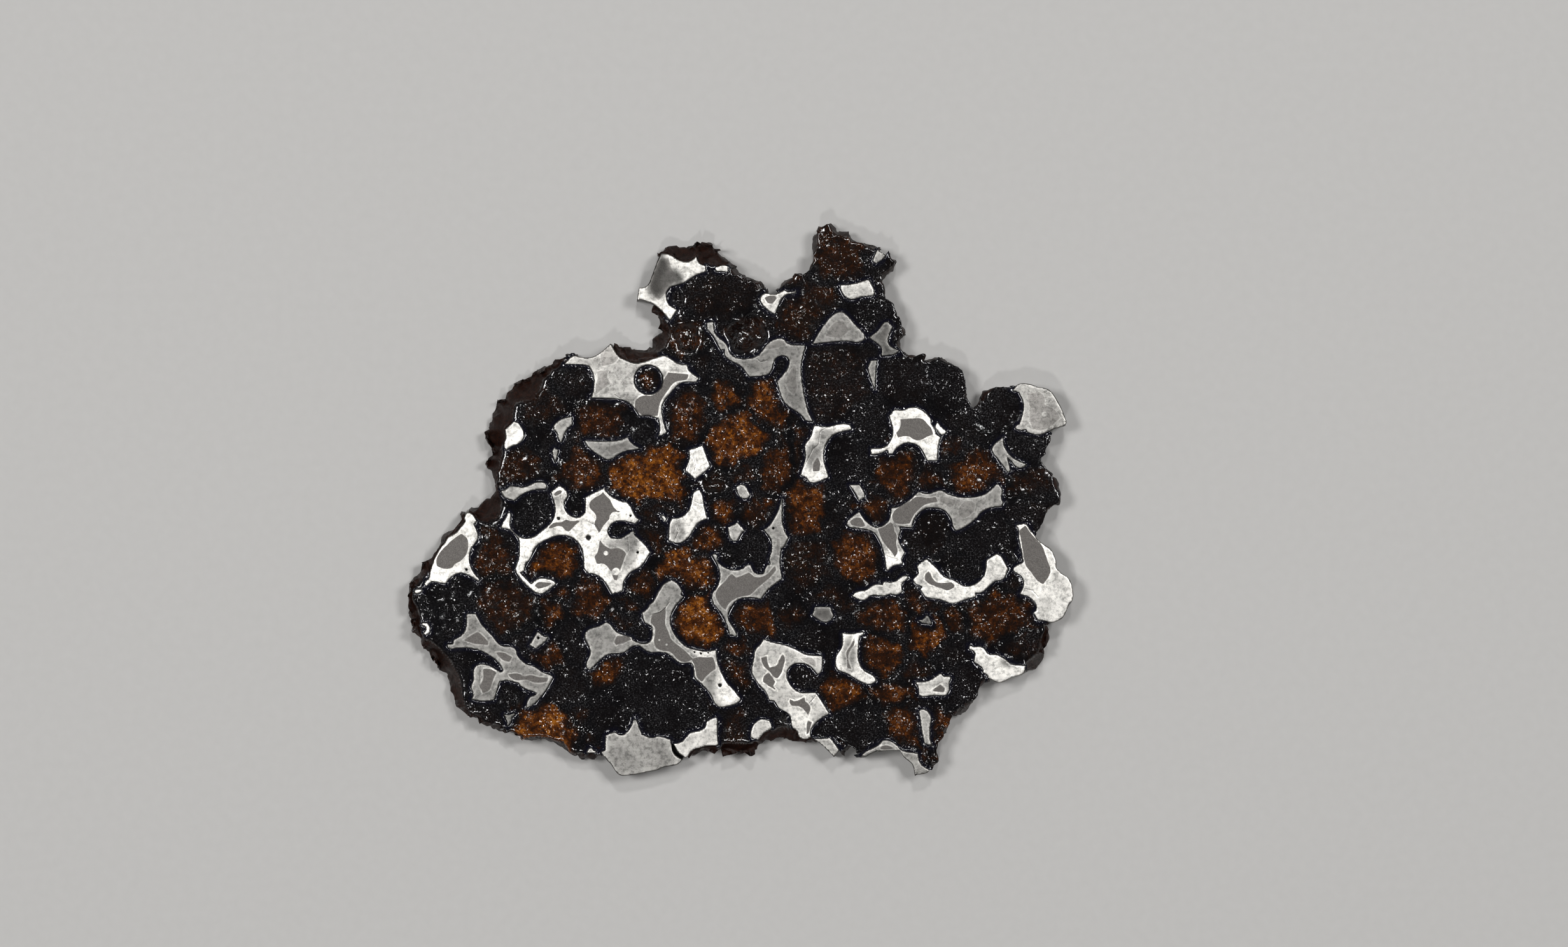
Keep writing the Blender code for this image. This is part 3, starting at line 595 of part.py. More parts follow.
def grown(loop, by):
    """The loop moved outward by a distance. Sharp inner corners keep a crossing tail, which `wound` sees as inside."""
    loop = clockwise(loop)
    out = []
    for i, p in enumerate(loop):
        a = p - loop[i - 1]
        b = loop[(i + 1) % len(loop)] - p
        na = np.array([-a[1], a[0]]) / np.hypot(*a)
        nb = np.array([-b[1], b[0]]) / np.hypot(*b)
        turn = math.atan2(a[0] * b[1] - a[1] * b[0], float(a @ b))
        if abs(turn) < math.radians(50):
            mid = na + nb
            out.append(p + mid / (mid @ na) * by)
        elif turn < 0:
            mid = (na + nb) / np.hypot(*(na + nb) + 1e-12)
            out += [p + (na + mid * 0.6) / np.hypot(*(na + mid * 0.6)) * by * 1.04]
            out += [p + (nb + mid * 0.6) / np.hypot(*(nb + mid * 0.6)) * by * 1.04]
        else:
            out += [p + na * by, p, p + nb * by]
    return np.array(out)


def wound(points, loop):
    """How often the loop winds clockwise round each point."""
    nxt = np.roll(loop, -1, axis=0)
    count = np.zeros(len(points), int)
    for (x0, y0), (x1, y1) in zip(loop, nxt):
        left = (x1 - x0) * (points[:, 1] - y0) - (points[:, 0] - x0) * (y1 - y0)
        count += ((y0 <= points[:, 1]) & (y1 > points[:, 1]) & (left > 0)).astype(int) * -1
        count += ((y0 > points[:, 1]) & (y1 <= points[:, 1]) & (left < 0)).astype(int)
    return count


def ring(x, y, rx, ry, turn=0.0, count=HOLLOW_POINTS):
    """An ellipse as a clockwise loop of points."""
    t = -np.linspace(0, 2 * math.pi, count, endpoint=False)
    c = math.cos(math.radians(turn))
    s = math.sin(math.radians(turn))
    u = rx * np.cos(t)
    v = ry * np.sin(t)
    return np.stack([x + c * u - s * v, y + s * u + c * v], axis=1)


def to_line(points, loop):
    """The distance of each point from the nearest side of the loop."""
    best = np.full(len(points), 1e9)
    for a, b in zip(loop, np.roll(loop, -1, axis=0)):
        d = b - a
        t = np.clip(((points - a) @ d) / max(d @ d, 1e-12), 0, 1)
        best = np.minimum(best, np.hypot(*(points - a - t[:, None] * d).T))
    return best


# One plan of triangles for the whole slice, with every outline as fixed edges in it
outline = thin([p for outer, _ in RIM for p in outer], MERGE * 0.6)
cut_edge = thin([p for outer, inner in RIM for p in (inner or outer)], MERGE * 0.6)
metals = {name: thin(loop, MERGE) for name, loop in METALS.items()}
lone_hole = ring(*LONE_CRYSTAL_AT, *LONE_CRYSTAL_SIZE, count=20)
lone_body = ring(*LONE_CRYSTAL_AT, LONE_CRYSTAL_SIZE[0] - GAP, LONE_CRYSTAL_SIZE[1] - GAP, count=20)
pockets = {name: grown(loop, GAP) for name, loop in metals.items()}
hollow_rims = [ring(*hollow[:5]) for hollow in HOLLOWS]
hollow_floors = [ring(x, y, rx * 0.55, ry * 0.55, turn, 8) for x, y, rx, ry, turn, _ in HOLLOWS]

points = []
edges = []
for loop in [outline, cut_edge, lone_hole, lone_body, *metals.values(), *pockets.values(), *hollow_rims,
             *hollow_floors]:
    first = len(points)
    points += [Vector((float(x), float(y))) for x, y in loop]
    edges += [(first + i, first + (i + 1) % len(loop)) for i in range(len(loop))]
plan_points, _, plan_faces, _, _, _ = delaunay_2d_cdt(points, edges, [], 0, 2e-3)
plan = np.array([(p.x, p.y) for p in plan_points])
faces = np.array([f for f in plan_faces if len(f) == 3])
middles = plan[faces].mean(axis=1)

# Which piece each triangle of the plan belongs to
in_slice = wound(middles, clockwise(outline)) > 0
in_any_metal = np.zeros(len(faces), bool)
in_pocket = np.zeros(len(faces), bool)
owner = {}
for name, loop in metals.items():
    inside = (wound(middles, clockwise(loop)) > 0) & in_slice
    pocket = wound(middles, pockets[name]) > 0
    if name == LONE_CRYSTAL_IN:
        inside &= ~(wound(middles, lone_hole) > 0)
    owner[name] = inside & ~in_any_metal
    in_any_metal |= inside
    in_pocket |= pocket
owner[LONE_CRYSTAL] = wound(middles, lone_body) > 0
owner["olivine_crystals"] = in_slice & ~in_pocket & ~in_any_metal & ~(wound(middles, lone_hole) > 0)

# The height of the cut face and the rim at every point of the plan
on_cut = (wound(plan, clockwise(cut_edge)) > 0) | (to_line(plan, cut_edge) < 5e-3)
fall = to_line(plan, cut_edge)
height = np.where(on_cut, THICKNESS, np.maximum(EDGE_HEIGHT, THICKNESS - 0.25 - EDGE_SLOPE * fall))
sunk = np.zeros(len(plan))
for hollow, floor in zip(HOLLOWS, hollow_floors):
    sunk = np.where(wound(plan, clockwise(floor) * 1.0) > 0, np.maximum(sunk, hollow[5]), sunk)
    sunk = np.where(to_line(plan, floor) < 5e-3, np.maximum(sunk, hollow[5]), sunk)


def doubled_area(a, b, c):
    """Twice the area of a triangle, above zero when it runs anticlockwise."""
    return (b[0] - a[0]) * (c[1] - a[1]) - (c[0] - a[0]) * (b[1] - a[1])


def whole(triangles):
    """The largest connected set of the triangles, without any that hang on by a single corner."""
    triangles = list(map(tuple, triangles))
    while True:
        by_edge = {}
        for n, tri in enumerate(triangles):
            for a, b in zip(tri, (tri[1], tri[2], tri[0])):
                by_edge.setdefault(frozenset((a, b)), []).append(n)
        group = [-1] * len(triangles)
        sizes = []
        neighbours = [[] for _ in triangles]
        for shared in by_edge.values():
            if len(shared) == 2:
                neighbours[shared[0]].append(shared[1])
                neighbours[shared[1]].append(shared[0])
        for start in range(len(triangles)):
            if group[start] >= 0:
                continue
            todo = [start]
            group[start] = len(sizes)
            count = 0
            while todo:
                n = todo.pop()
                count += 1
                for other in neighbours[n]:
                    if group[other] < 0:
                        group[other] = len(sizes)
                        todo.append(other)
            sizes.append(count)
        best = int(np.argmax(sizes))
        triangles = [tri for n, tri in enumerate(triangles) if group[n] == best]
        rim_edges = {}
        used = {}
        for tri in triangles:
            for a, b in zip(tri, (tri[1], tri[2], tri[0])):
                used[frozenset((a, b))] = used.get(frozenset((a, b)), 0) + 1
        for edge, times in used.items():
            if times == 1:
                for v in edge:
                    rim_edges[v] = rim_edges.get(v, 0) + 1
        pinched = {v for v, times in rim_edges.items() if times > 2}
        if not pinched:
            return triangles
        v = pinched.pop()
        fans = [tri for tri in triangles if v in tri]
        areas = [abs(doubled_area(*plan[list(t)])) for t in fans]
        triangles.remove(fans[int(np.argmin(areas))])


def shift(x, y, z):
    """How far a point wanders sideways: nothing at the cut face and a little, smoothly varying, at the back."""
    share = BACK_SHIFT * (1 - z / THICKNESS)
    dx = share * (math.sin(0.23 * x + 0.31 * y + 1.0) * 0.6 + math.sin(0.61 * y - 0.17 * x) * 0.4)
    dy = share * (math.sin(0.27 * y - 0.19 * x + 2.0) * 0.6 + math.sin(0.57 * x + 0.11 * y) * 0.4)
    return x + dx, y + dy


def add_solid(name, triangles, drop=0.0):
    """A solid over the triangles, from the back face up to the height of the plan, less the drop."""
    mesh = bpy.data.meshes.new(name)
    solid = bmesh.new()
    tops = {}
    backs = {}
    sides = {}
    for v in sorted({v for tri in triangles for v in tri}):
        x, y = plan[v]
        top = height[v] - (drop + sunk[v] if height[v] > EDGE_HEIGHT + drop else 0)
        tx, ty = shift(x, y, top)
        bx, by = shift(x, y, 0.0)
        tops[v] = solid.verts.new((tx * MM, ty * MM, top * MM))
        backs[v] = solid.verts.new((bx * MM, by * MM, 0.0))
    for a, b, c in triangles:
        if doubled_area(plan[a], plan[b], plan[c]) < 0:
            b, c = c, b
        solid.faces.new((tops[a], tops[b], tops[c]))
        solid.faces.new((backs[a], backs[c], backs[b]))
        sides.update({(a, b): None, (b, c): None, (c, a): None})
    for a, b in sides:
        if (b, a) not in sides:
            solid.faces.new((tops[b], tops[a], backs[a], backs[b]))
    bmesh.ops.triangulate(solid, faces=solid.faces[:])
    solid.to_mesh(mesh)
    solid.free()
    obj = bpy.data.objects.new(name, mesh)
    bpy.context.scene.collection.objects.link(obj)
    material = bpy.data.materials.new(name)
    material.use_nodes = True
    surface = material.node_tree.nodes["Principled BSDF"]
    metal = name.startswith("metal")
    surface.inputs["Base Color"].default_value = METAL_COLOUR if metal else CRYSTAL_COLOUR
    surface.inputs["Metallic"].default_value = 1.0 if metal else 0.0
    surface.inputs["Roughness"].default_value = 0.35 if metal else 0.2
    mesh.materials.append(material)


for name, mine in owner.items():
    add_solid(name, whole(faces[mine]), CRYSTAL_DROP if name.startswith("olivine") else 0.0)
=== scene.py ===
import math

import bpy
import numpy as np
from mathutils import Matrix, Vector
from mathutils.geometry import delaunay_2d_cdt


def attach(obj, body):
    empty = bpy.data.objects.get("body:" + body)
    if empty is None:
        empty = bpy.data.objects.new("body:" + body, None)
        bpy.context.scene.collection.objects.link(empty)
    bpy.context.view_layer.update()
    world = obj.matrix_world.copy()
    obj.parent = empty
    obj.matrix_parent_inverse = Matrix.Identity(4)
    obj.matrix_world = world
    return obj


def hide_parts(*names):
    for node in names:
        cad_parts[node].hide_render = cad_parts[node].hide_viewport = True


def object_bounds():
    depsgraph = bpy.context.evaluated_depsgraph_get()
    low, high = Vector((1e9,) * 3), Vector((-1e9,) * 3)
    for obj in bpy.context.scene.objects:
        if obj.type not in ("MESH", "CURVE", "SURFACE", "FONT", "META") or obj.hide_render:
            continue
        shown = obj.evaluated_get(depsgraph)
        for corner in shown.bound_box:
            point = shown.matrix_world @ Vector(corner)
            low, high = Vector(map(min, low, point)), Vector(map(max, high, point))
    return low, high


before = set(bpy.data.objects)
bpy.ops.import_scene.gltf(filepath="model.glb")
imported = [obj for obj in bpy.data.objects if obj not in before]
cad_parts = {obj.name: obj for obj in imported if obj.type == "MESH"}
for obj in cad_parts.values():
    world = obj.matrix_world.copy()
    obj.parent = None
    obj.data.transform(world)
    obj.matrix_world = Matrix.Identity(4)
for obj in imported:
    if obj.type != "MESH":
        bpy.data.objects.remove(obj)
cad_box = [list(corner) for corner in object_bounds()]
MM = 0.001

# Floor, light and camera. The slice lies on its back on a plain pale floor and is seen from straight above,
# between two wide lamps at its sides and two smaller ones at its top and bottom that make the crystals glint.
# Sizes are in mm here and below, and MM is one of them in metres.
FACE_HEIGHT = round(cad_box[1][2] / MM, 3)
VIEW_CENTRE = (4.79, 3.03)
VIEW_WIDTH = 173.5
LENS = 105.0
SENSOR = 36.0
CAMERA_HEIGHT = FACE_HEIGHT + VIEW_WIDTH * LENS / SENSOR

# Each lamp: name, place in metres, width in metres and watts
LAMPS = (
    ("left lamp", (-0.4, 0.1, 0.82), 0.2, 2.9),
    ("right lamp", (0.38, 0.2, 0.82), 0.2, 2.7),
    ("back lamp", (0.05, 0.46, 0.82), 0.08, 1.3),
    ("front lamp", (-0.1, -0.44, 0.82), 0.08, 1.1),
)

scene = bpy.context.scene
scene.view_settings.view_transform = "Standard"
camera = bpy.data.objects.new("camera", bpy.data.cameras.new("camera"))
camera.data.lens = LENS
camera.data.sensor_width = SENSOR
camera.data.clip_start = 0.01
camera.data.clip_end = 20
camera.location = (VIEW_CENTRE[0] * MM, VIEW_CENTRE[1] * MM, CAMERA_HEIGHT * MM)
scene.collection.objects.link(camera)
scene.camera = camera

for name, place, width, watts in LAMPS:
    light = bpy.data.lights.new(name, "AREA")
    light.size = width
    light.energy = watts
    lamp = bpy.data.objects.new(name, light)
    lamp.location = place
    lamp.rotation_euler = (-Vector(place)).to_track_quat("-Z", "Y").to_euler()
    scene.collection.objects.link(lamp)


def add_node(tree, kind, **settings):
    """A node of that kind. Settings named like a socket go into it (a socket of another node is linked), and
    the others are the node's own."""
    made = tree.nodes.new("ShaderNode" + kind)
    for key, value in settings.items():
        if key.startswith("in_"):
            label = key[3:]
            target = made.inputs[int(label)] if label.isdigit() else made.inputs[label.replace("_", " ")]
            if isinstance(value, bpy.types.NodeSocket):
                tree.links.new(value, target)
            else:
                target.default_value = value
        else:
            setattr(made, key, value)
    return made


def remap(value, low, high, to_low=0.0, to_high=1.0):
    """The value stretched so that low becomes to_low and high becomes to_high, and held between the two."""
    made = add_node(value.id_data, "MapRange", in_0=value, in_1=low, in_2=high, in_3=to_low, in_4=to_high)
    return made.outputs[0]


# The room is bright round the sides and dark straight above, so that dark crystals stay dark from above
OVERHEAD = 0.012
AROUND = 0.2
sky = bpy.data.worlds.new("room")
sky.use_nodes = True
tree = sky.node_tree
way = add_node(tree, "TexCoord").outputs["Generated"]
up = add_node(tree, "SeparateXYZ", in_0=way).outputs[2]
strength = remap(up, 0.15, 0.65, AROUND, OVERHEAD)
tree.nodes["Background"].inputs["Color"].default_value = (1.0, 0.985, 0.965, 1)
tree.links.new(strength, tree.nodes["Background"].inputs["Strength"])
scene.world = sky


def new_material(name):
    """An empty node material, with its tree and its main shader."""
    material = bpy.data.materials.new(name)
    material.use_nodes = True
    return material, material.node_tree, material.node_tree.nodes["Principled BSDF"]


def noise(place, scale, detail, roughness=0.5):
    """Cloudy noise from 0 to 1, with about that many lumps to a metre and finer lumps within them."""
    made = add_node(place.id_data, "TexNoise", in_Vector=place, in_Scale=scale, in_Detail=detail)
    made.inputs["Roughness"].default_value = roughness
    return made.outputs[0]


FLOOR_SIZE = 2.0
FLOOR_DROP = 0.00002
floor_material, tree, shader = new_material("matt pale floor")
shader.inputs["Roughness"].default_value = 0.75
place = add_node(tree, "TexCoord").outputs["Object"]
tint = add_node(tree, "ValToRGB", in_0=noise(place, 900.0, 3.0))
tint.color_ramp.elements[0].color = (0.565, 0.555, 0.54, 1)
tint.color_ramp.elements[1].color = (0.605, 0.595, 0.58, 1)
tree.links.new(tint.outputs[0], shader.inputs["Base Color"])
floor_mesh = bpy.data.meshes.new("floor")
corners = ((-1, -1), (1, -1), (1, 1), (-1, 1))
floor_points = [(x * FLOOR_SIZE, y * FLOOR_SIZE, -FLOOR_DROP) for x, y in corners]
floor_mesh.from_pydata(floor_points, [], [(0, 1, 2, 3)])
floor_mesh.materials.append(floor_material)
floor = bpy.data.objects.new("floor", floor_mesh)
scene.collection.objects.link(floor)

# The patches of iron-nickel metal. Each is a solid wall through the slice, sawn, ground and lightly etched:
# bright where it borders a crystal, and duller grey and fine-grained in the middle of the wider ones.
# How bright each patch is also holds painted sheen: the way its etched grain catches the lamps.
METAL_SPACING = 0.17
EDGE_SPACING = 0.15
CLEAR_OF_EDGE = 0.45
SHARP_TURN = 50.0
BACK_SHIFT = 0.3
EDGE_ROUNDING = 0.05
EDGE_FALL = 0.6
# GLEAM and GLEAM_WIDTH: a painted gleam, the colour made brighter near each patch's edge
GLEAM_WIDTH = 0.35
GLEAM = 0.3
MARK_INNER_RING = 0.6
PIT_FLOOR = 0.7
PIT_DEPTH = 0.15
CRACK_WIDTH = 0.04
CRACK_DEPTH = 0.03
CRACK_DARKNESS = 0.75
CRACK_SIDE = 0.05
CRACK_SPACING = 0.07

# Grey fine-grained fields, each an outline whose points are FIELD_SPACING apart once it is smoothed
FIELD_SPACING = 0.3
GREY_FIELDS = [
    [(2.6, 22.5), (3.1, 22.7), (3.9, 22.7), (4.0, 22.4), (3.5, 21.8), (3.0, 21.9)],
    [(8.5, 4.85), (8.8, 4.1), (8.7, 3.3), (8.0, 3.25), (8.0, 4.0)],
    [(17.7, 9.05), (17.6, 8.1), (17.2, 7.5), (17.4, 7.0), (18.0, 7.15), (18.65, 7.1), (19.15, 6.8),
     (19.85, 6.7), (20.5, 7.05), (21.3, 7.35), (21.1, 8.0), (20.6, 8.6), (20.05, 9.1), (18.65, 9.1)],
    [(-8.0, 14.2), (-5.75, 14.0), (-5.95, 13.4), (-7.3, 13.1), (-8.2, 12.05), (-8.9, 10.85), (-9.2, 9.4),
     (-10.85, 9.5), (-11.65, 10.2), (-11.65, 11.15), (-10.85, 11.65), (-9.8, 11.65), (-8.9, 12.4),
     (-8.4, 13.6)],
    [(-32.5, -4.9), (-31.9, -4.3), (-30.9, -3.6), (-30.3, -4.1), (-30.15, -4.9), (-30.3, -5.8),
     (-30.9, -6.6), (-31.6, -7.0), (-31.9, -7.4), (-32.9, -7.5), (-33.6, -7.2), (-33.7, -6.6),
     (-33.2, -5.6)],
    [(-20.74, 0.68), (-20.33, 1.08), (-20.0, 1.2), (-19.7, 1.08), (-19.9, 0.83), (-20.5, 0.55)],
    [(-21.37, -3.08), (-20.76, -2.47), (-19.73, -2.3), (-19.33, -2.06), (-18.9, -2.2), (-17.6, -2.16),
     (-18.1, -2.5), (-18.6, -3.03), (-19.0, -3.4), (-19.4, -3.3), (-19.73, -2.88), (-20.35, -2.8),
     (-20.86, -3.03)],
    [(-15.24, 1.0), (-14.96, 0.6), (-14.5, 0.18), (-14.3, -0.22), (-13.98, -0.79), (-13.65, -1.08),
     (-13.0, -1.28), (-14.2, -1.28), (-14.47, -1.6), (-14.55, -2.0), (-14.9, -2.4), (-15.2, -2.78),
     (-15.5, -3.3), (-15.7, -3.6), (-15.94, -3.08), (-16.2, -2.57), (-16.0, -1.93), (-16.1, -1.45),
     (-16.42, -1.1), (-16.75, -0.7), (-16.75, -0.3), (-16.5, 0.1), (-16.0, 0.47), (-15.45, 0.75)],
    [(-15.6, -4.2), (-15.3, -4.7), (-14.8, -5.1), (-14.4, -5.3), (-13.7, -5.2), (-12.98, -5.5),
     (-12.67, -5.84), (-12.88, -6.35), (-13.08, -6.96), (-13.3, -7.57), (-13.4, -7.98), (-13.7, -8.8),
     (-14.0, -8.75), (-14.3, -8.08), (-14.6, -7.47), (-15.1, -7.0), (-15.94, -6.96), (-16.2, -6.14),
     (-15.84, -5.7), (-15.7, -5.0)],
    [(-22.8, -9.4), (-22.5, -9.05), (-21.67, -9.0), (-20.86, -9.05), (-21.06, -9.3), (-21.78, -9.56),
     (-22.4, -9.7)],
    [(-29.1, -14.5), (-29.84, -14.9), (-30.65, -15.43), (-29.3, -15.8), (-28.0, -15.94), (-27.95, -15.6),
     (-28.4, -15.1), (-28.8, -14.7)],
    [(-27.08, -16.76), (-26.27, -16.8), (-25.3, -17.3), (-25.6, -17.8), (-26.16, -17.67), (-26.8, -17.16)],
    [(-25.76, -19.2), (-24.7, -19.1), (-23.9, -19.4), (-23.2, -19.3), (-22.4, -19.5), (-21.27, -19.56),
     (-21.47, -20.0), (-22.7, -20.1), (-23.7, -19.8), (-25.1, -19.77)],
    [(-28.5, -18.6), (-27.8, -18.6), (-26.98, -19.0), (-27.3, -19.5), (-27.5, -20.1), (-27.8, -20.9),
     (-28.5, -21.3), (-28.9, -20.5), (-28.5, -19.7)],
    [(-9.8, -12.57), (-8.8, -12.16), (-8.3, -11.76), (-8.34, -12.8), (-8.4, -13.5), (-8.1, -14.3),
     (-7.98, -14.6), (-7.78, -15.2), (-7.27, -15.7), (-6.76, -16.1), (-6.2, -16.55), (-5.7, -17.06),
     (-5.3, -17.47), (-5.8, -17.78), (-6.55, -17.78), (-7.16, -17.37), (-7.47, -16.96), (-7.98, -16.65),
     (-8.8, -16.55), (-9.4, -16.2), (-9.6, -15.5), (-9.5, -14.8), (-9.5, -14.0), (-10.0, -13.5)],
    [(-5.5, -17.5), (-4.7, -17.3), (-3.9, -17.3), (-3.1, -17.3), (-2.8, -18.1), (-2.8, -18.6),
     (-3.4, -19.0), (-3.9, -19.5), (-4.3, -20.0), (-4.8, -19.6), (-5.0, -18.9), (-5.1, -18.2)],
    [(-13.7, -14.97), (-12.5, -15.0), (-12.06, -15.3), (-12.9, -15.7), (-13.8, -15.94), (-14.0, -15.6)],
    [(-1.14, -8.2), (-1.65, -8.8), (-2.16, -9.3), (-2.67, -9.9), (-2.78, -10.4), (-2.57, -11.04),
     (-2.06, -11.76), (-1.65, -12.06), (-1.45, -11.55), (-0.84, -10.94), (0.02, -10.6), (1.04, -10.4),
     (1.65, -9.8), (2.37, -9.2), (3.3, -8.4), (3.9, -7.67), (3.8, -7.16), (3.08, -7.98), (2.37, -8.4),
     (1.45, -8.4), (0.94, -7.9), (0.1, -8.3), (-0.5, -8.5), (-1.0, -8.1)],
    [(12.57, -15.1), (12.57, -15.84), (12.16, -16.45), (11.9, -17.06), (11.96, -17.88), (12.27, -18.6),
     (11.8, -18.5), (11.76, -17.57), (11.7, -16.76), (12.16, -16.04)],
    [(2.27, -17.37), (2.88, -17.16), (2.98, -17.88), (3.18, -18.5), (3.9, -18.08), (4.4, -17.37),
     (4.6, -16.96), (4.9, -17.37), (4.7, -18.3), (4.5, -19.0), (4.1, -19.6), (3.8, -19.6), (3.3, -19.0),
     (2.67, -18.4), (2.37, -17.88)],
    [(3.08, -19.0), (3.5, -19.5), (3.8, -20.0), (3.6, -20.5), (4.0, -21.0), (3.5, -20.7), (2.98, -20.4),
     (2.47, -20.0), (2.57, -19.4)],
    [(5.4, -21.96), (5.94, -22.16), (6.45, -22.06), (7.06, -21.65), (7.16, -22.16), (7.67, -22.67),
     (7.67, -23.2), (7.47, -23.8), (7.16, -23.3), (6.65, -22.8), (5.6, -22.67), (5.4, -22.27)],
    [(7.4, -24.26), (7.88, -24.5), (7.67, -25.1), (7.5, -25.7), (7.3, -25.84), (7.27, -25.1)],
    [(15.4, -27.27), (15.9, -27.06), (16.55, -27.16), (17.16, -27.47), (16.35, -27.5), (15.5, -27.5)],
    [(21.06, -21.04), (22.08, -20.3), (22.6, -20.7), (22.5, -21.2)],
    [(12.06, -2.27), (12.78, -1.86), (13.3, -1.96), (13.8, -2.78), (13.3, -2.88), (12.27, -2.67)],
    [(15.2, -3.08), (15.8, -2.88), (16.55, -2.37), (16.86, -2.57), (16.96, -3.3), (17.27, -3.9),
     (17.16, -4.7), (17.37, -5.6), (17.06, -6.24), (16.55, -5.5), (16.04, -4.9), (15.53, -4.1)],
    [(17.06, -1.04), (17.9, -0.5), (18.8, 0.0), (19.3, 0.4), (19.9, 0.44), (20.76, 0.3), (21.57, 0.44),
     (21.8, -0.12), (21.06, -0.22), (20.35, -0.43), (19.7, -0.94), (19.1, -1.65), (18.7, -2.47),
     (18.0, -2.57), (17.06, -2.47), (16.76, -1.86)],
    [(20.76, -7.78), (21.0, -8.03), (21.16, -8.5), (21.67, -9.0), (22.4, -9.1), (23.3, -9.0), (23.66, -9.3),
     (23.6, -9.6), (22.9, -9.9), (22.2, -9.7), (21.37, -9.4), (20.76, -9.1), (20.35, -8.7), (20.45, -8.08)],
    [(30.8, -3.3), (31.5, -2.7), (32.3, -3.8), (33.3, -4.9), (33.9, -6.5), (34.3, -7.6), (34.0, -8.5),
     (33.5, -9.2), (32.9, -8.9), (32.2, -8.0), (31.5, -7.0), (31.2, -5.5), (31.0, -4.2)],
]

# Fields of the same kind that hardly differ from the metal round them, and how strong their grey is
FAINT = 0.35
FAINT_FIELDS = [
    [(5.95, 15.0), (6.15, 14.4), (6.1, 13.6), (6.2, 12.5), (5.9, 11.8), (5.3, 12.3), (5.05, 13.3),
     (5.5, 14.3)],
    [(2.4, 16.8), (3.8, 17.7), (4.9, 17.7), (5.1, 17.3), (3.7, 16.9)],
    [(10.6, 19.8), (11.3, 19.9), (12.0, 18.9), (11.0, 18.1), (9.3, 18.3)],
    [(16.2, 19.4), (16.4, 18.7), (15.85, 17.7), (15.3, 17.9), (15.55, 18.6)],
    [(31.7, 11.9), (33.1, 12.0), (33.6, 11.45), (33.6, 10.65), (34.75, 10.05), (35.3, 9.2), (34.35, 8.3),
     (33.1, 7.8), (32.3, 8.0), (32.0, 9.0), (32.0, 10.35)],
    [(-15.9, 14.3), (-14.6, 14.5), (-14.8, 13.8), (-14.4, 13.0), (-15.3, 12.4), (-16.0, 11.8),
     (-16.1, 12.6), (-15.8, 13.5)],
    [(-15.5, 16.3), (-14.4, 17.2), (-13.5, 15.9), (-14.0, 15.3), (-15.4, 14.9)],
    [(22.08, 0.5), (22.9, 0.34), (23.8, 0.08), (23.56, -0.53), (23.1, -0.68), (22.6, -0.33),
     (22.08, -0.07)],
    [(24.5, -0.33), (25.04, -0.02), (25.55, -0.07), (25.9, -0.33), (25.8, -1.04), (25.35, -1.55),
     (24.6, -1.9), (24.2, -1.55), (24.2, -0.84)],
    [(4.0, -4.1), (4.3, -4.3), (4.3, -6.1), (4.0, -6.0)],
    [(8.4, -11.9), (9.7, -11.9), (10.0, -12.6), (9.5, -13.2), (8.7, -13.1), (8.1, -12.6)],
    [(-14.6, 6.05), (-13.3, 6.35), (-12.4, 6.75), (-11.85, 5.95), (-13.3, 5.45), (-14.3, 5.15),
     (-14.7, 5.55)],
    [(-9.8, 26.5), (-8.0, 26.9), (-7.6, 25.5), (-7.0, 24.6), (-7.7, 23.9), (-8.4, 22.9), (-9.1, 22.2),
     (-9.8, 23.0), (-10.0, 24.3)],
    [(6.65, -17.37), (7.88, -17.4), (8.2, -17.67), (8.3, -18.4), (7.67, -18.08), (6.96, -17.67)],
]

# How bright each patch looks where it isn't grey, from 1 for the brightest down to a dull one: partly the
# patch's own tone and partly painted sheen, the way its etched grain catches the lamps. The light that it
# throws back is that number to the power of CONTRAST.
CONTRAST = 1.7
BRIGHTNESS = {
    "metal_upper_centre": 0.42, "metal_triangle": 0.44, "metal_boat": 0.42, "metal_right_band": 0.5,
    "metal_lower_left_star": 0.48, "metal_lower_band": 0.5, "metal_centre": 0.5, "metal_oval": 0.3,
    "metal_left_strip": 0.58, "metal_left_foot": 0.55, "metal_centre_crumb": 0.7,
    "metal_centre_wedge": 0.66, "metal_hook": 0.28, "metal_left_ear": 0.92, "metal_left_ear_chip": 0.8,
    "metal_vee": 0.46, "metal_upper_left": 0.72, "metal_notch": 0.85, "metal_small_leaf": 0.52,
    "metal_lower_centre": 0.78, "metal_right_bar": 0.66, "metal_knob": 0.62, "metal_thin_sliver": 0.46,
    "metal_tiny_star": 0.3, "metal_right_ear_bar": 0.8, "metal_right_ear_chip": 0.5,
    "metal_upper_sliver": 0.4, "metal_small_star": 0.54, "metal_lower_left_spur": 0.28,
    "metal_left_foot_fleck": 0.8, "metal_foot_strip": 0.82, "metal_square": 0.62, "metal_bottom_chip": 0.8,
    "metal_bottom_wedge": 0.6, "metal_right_foot": 0.54, "metal_right_chip": 0.82, "metal_white_strip": 0.9,
    "metal_right_edge": 0.9,
}
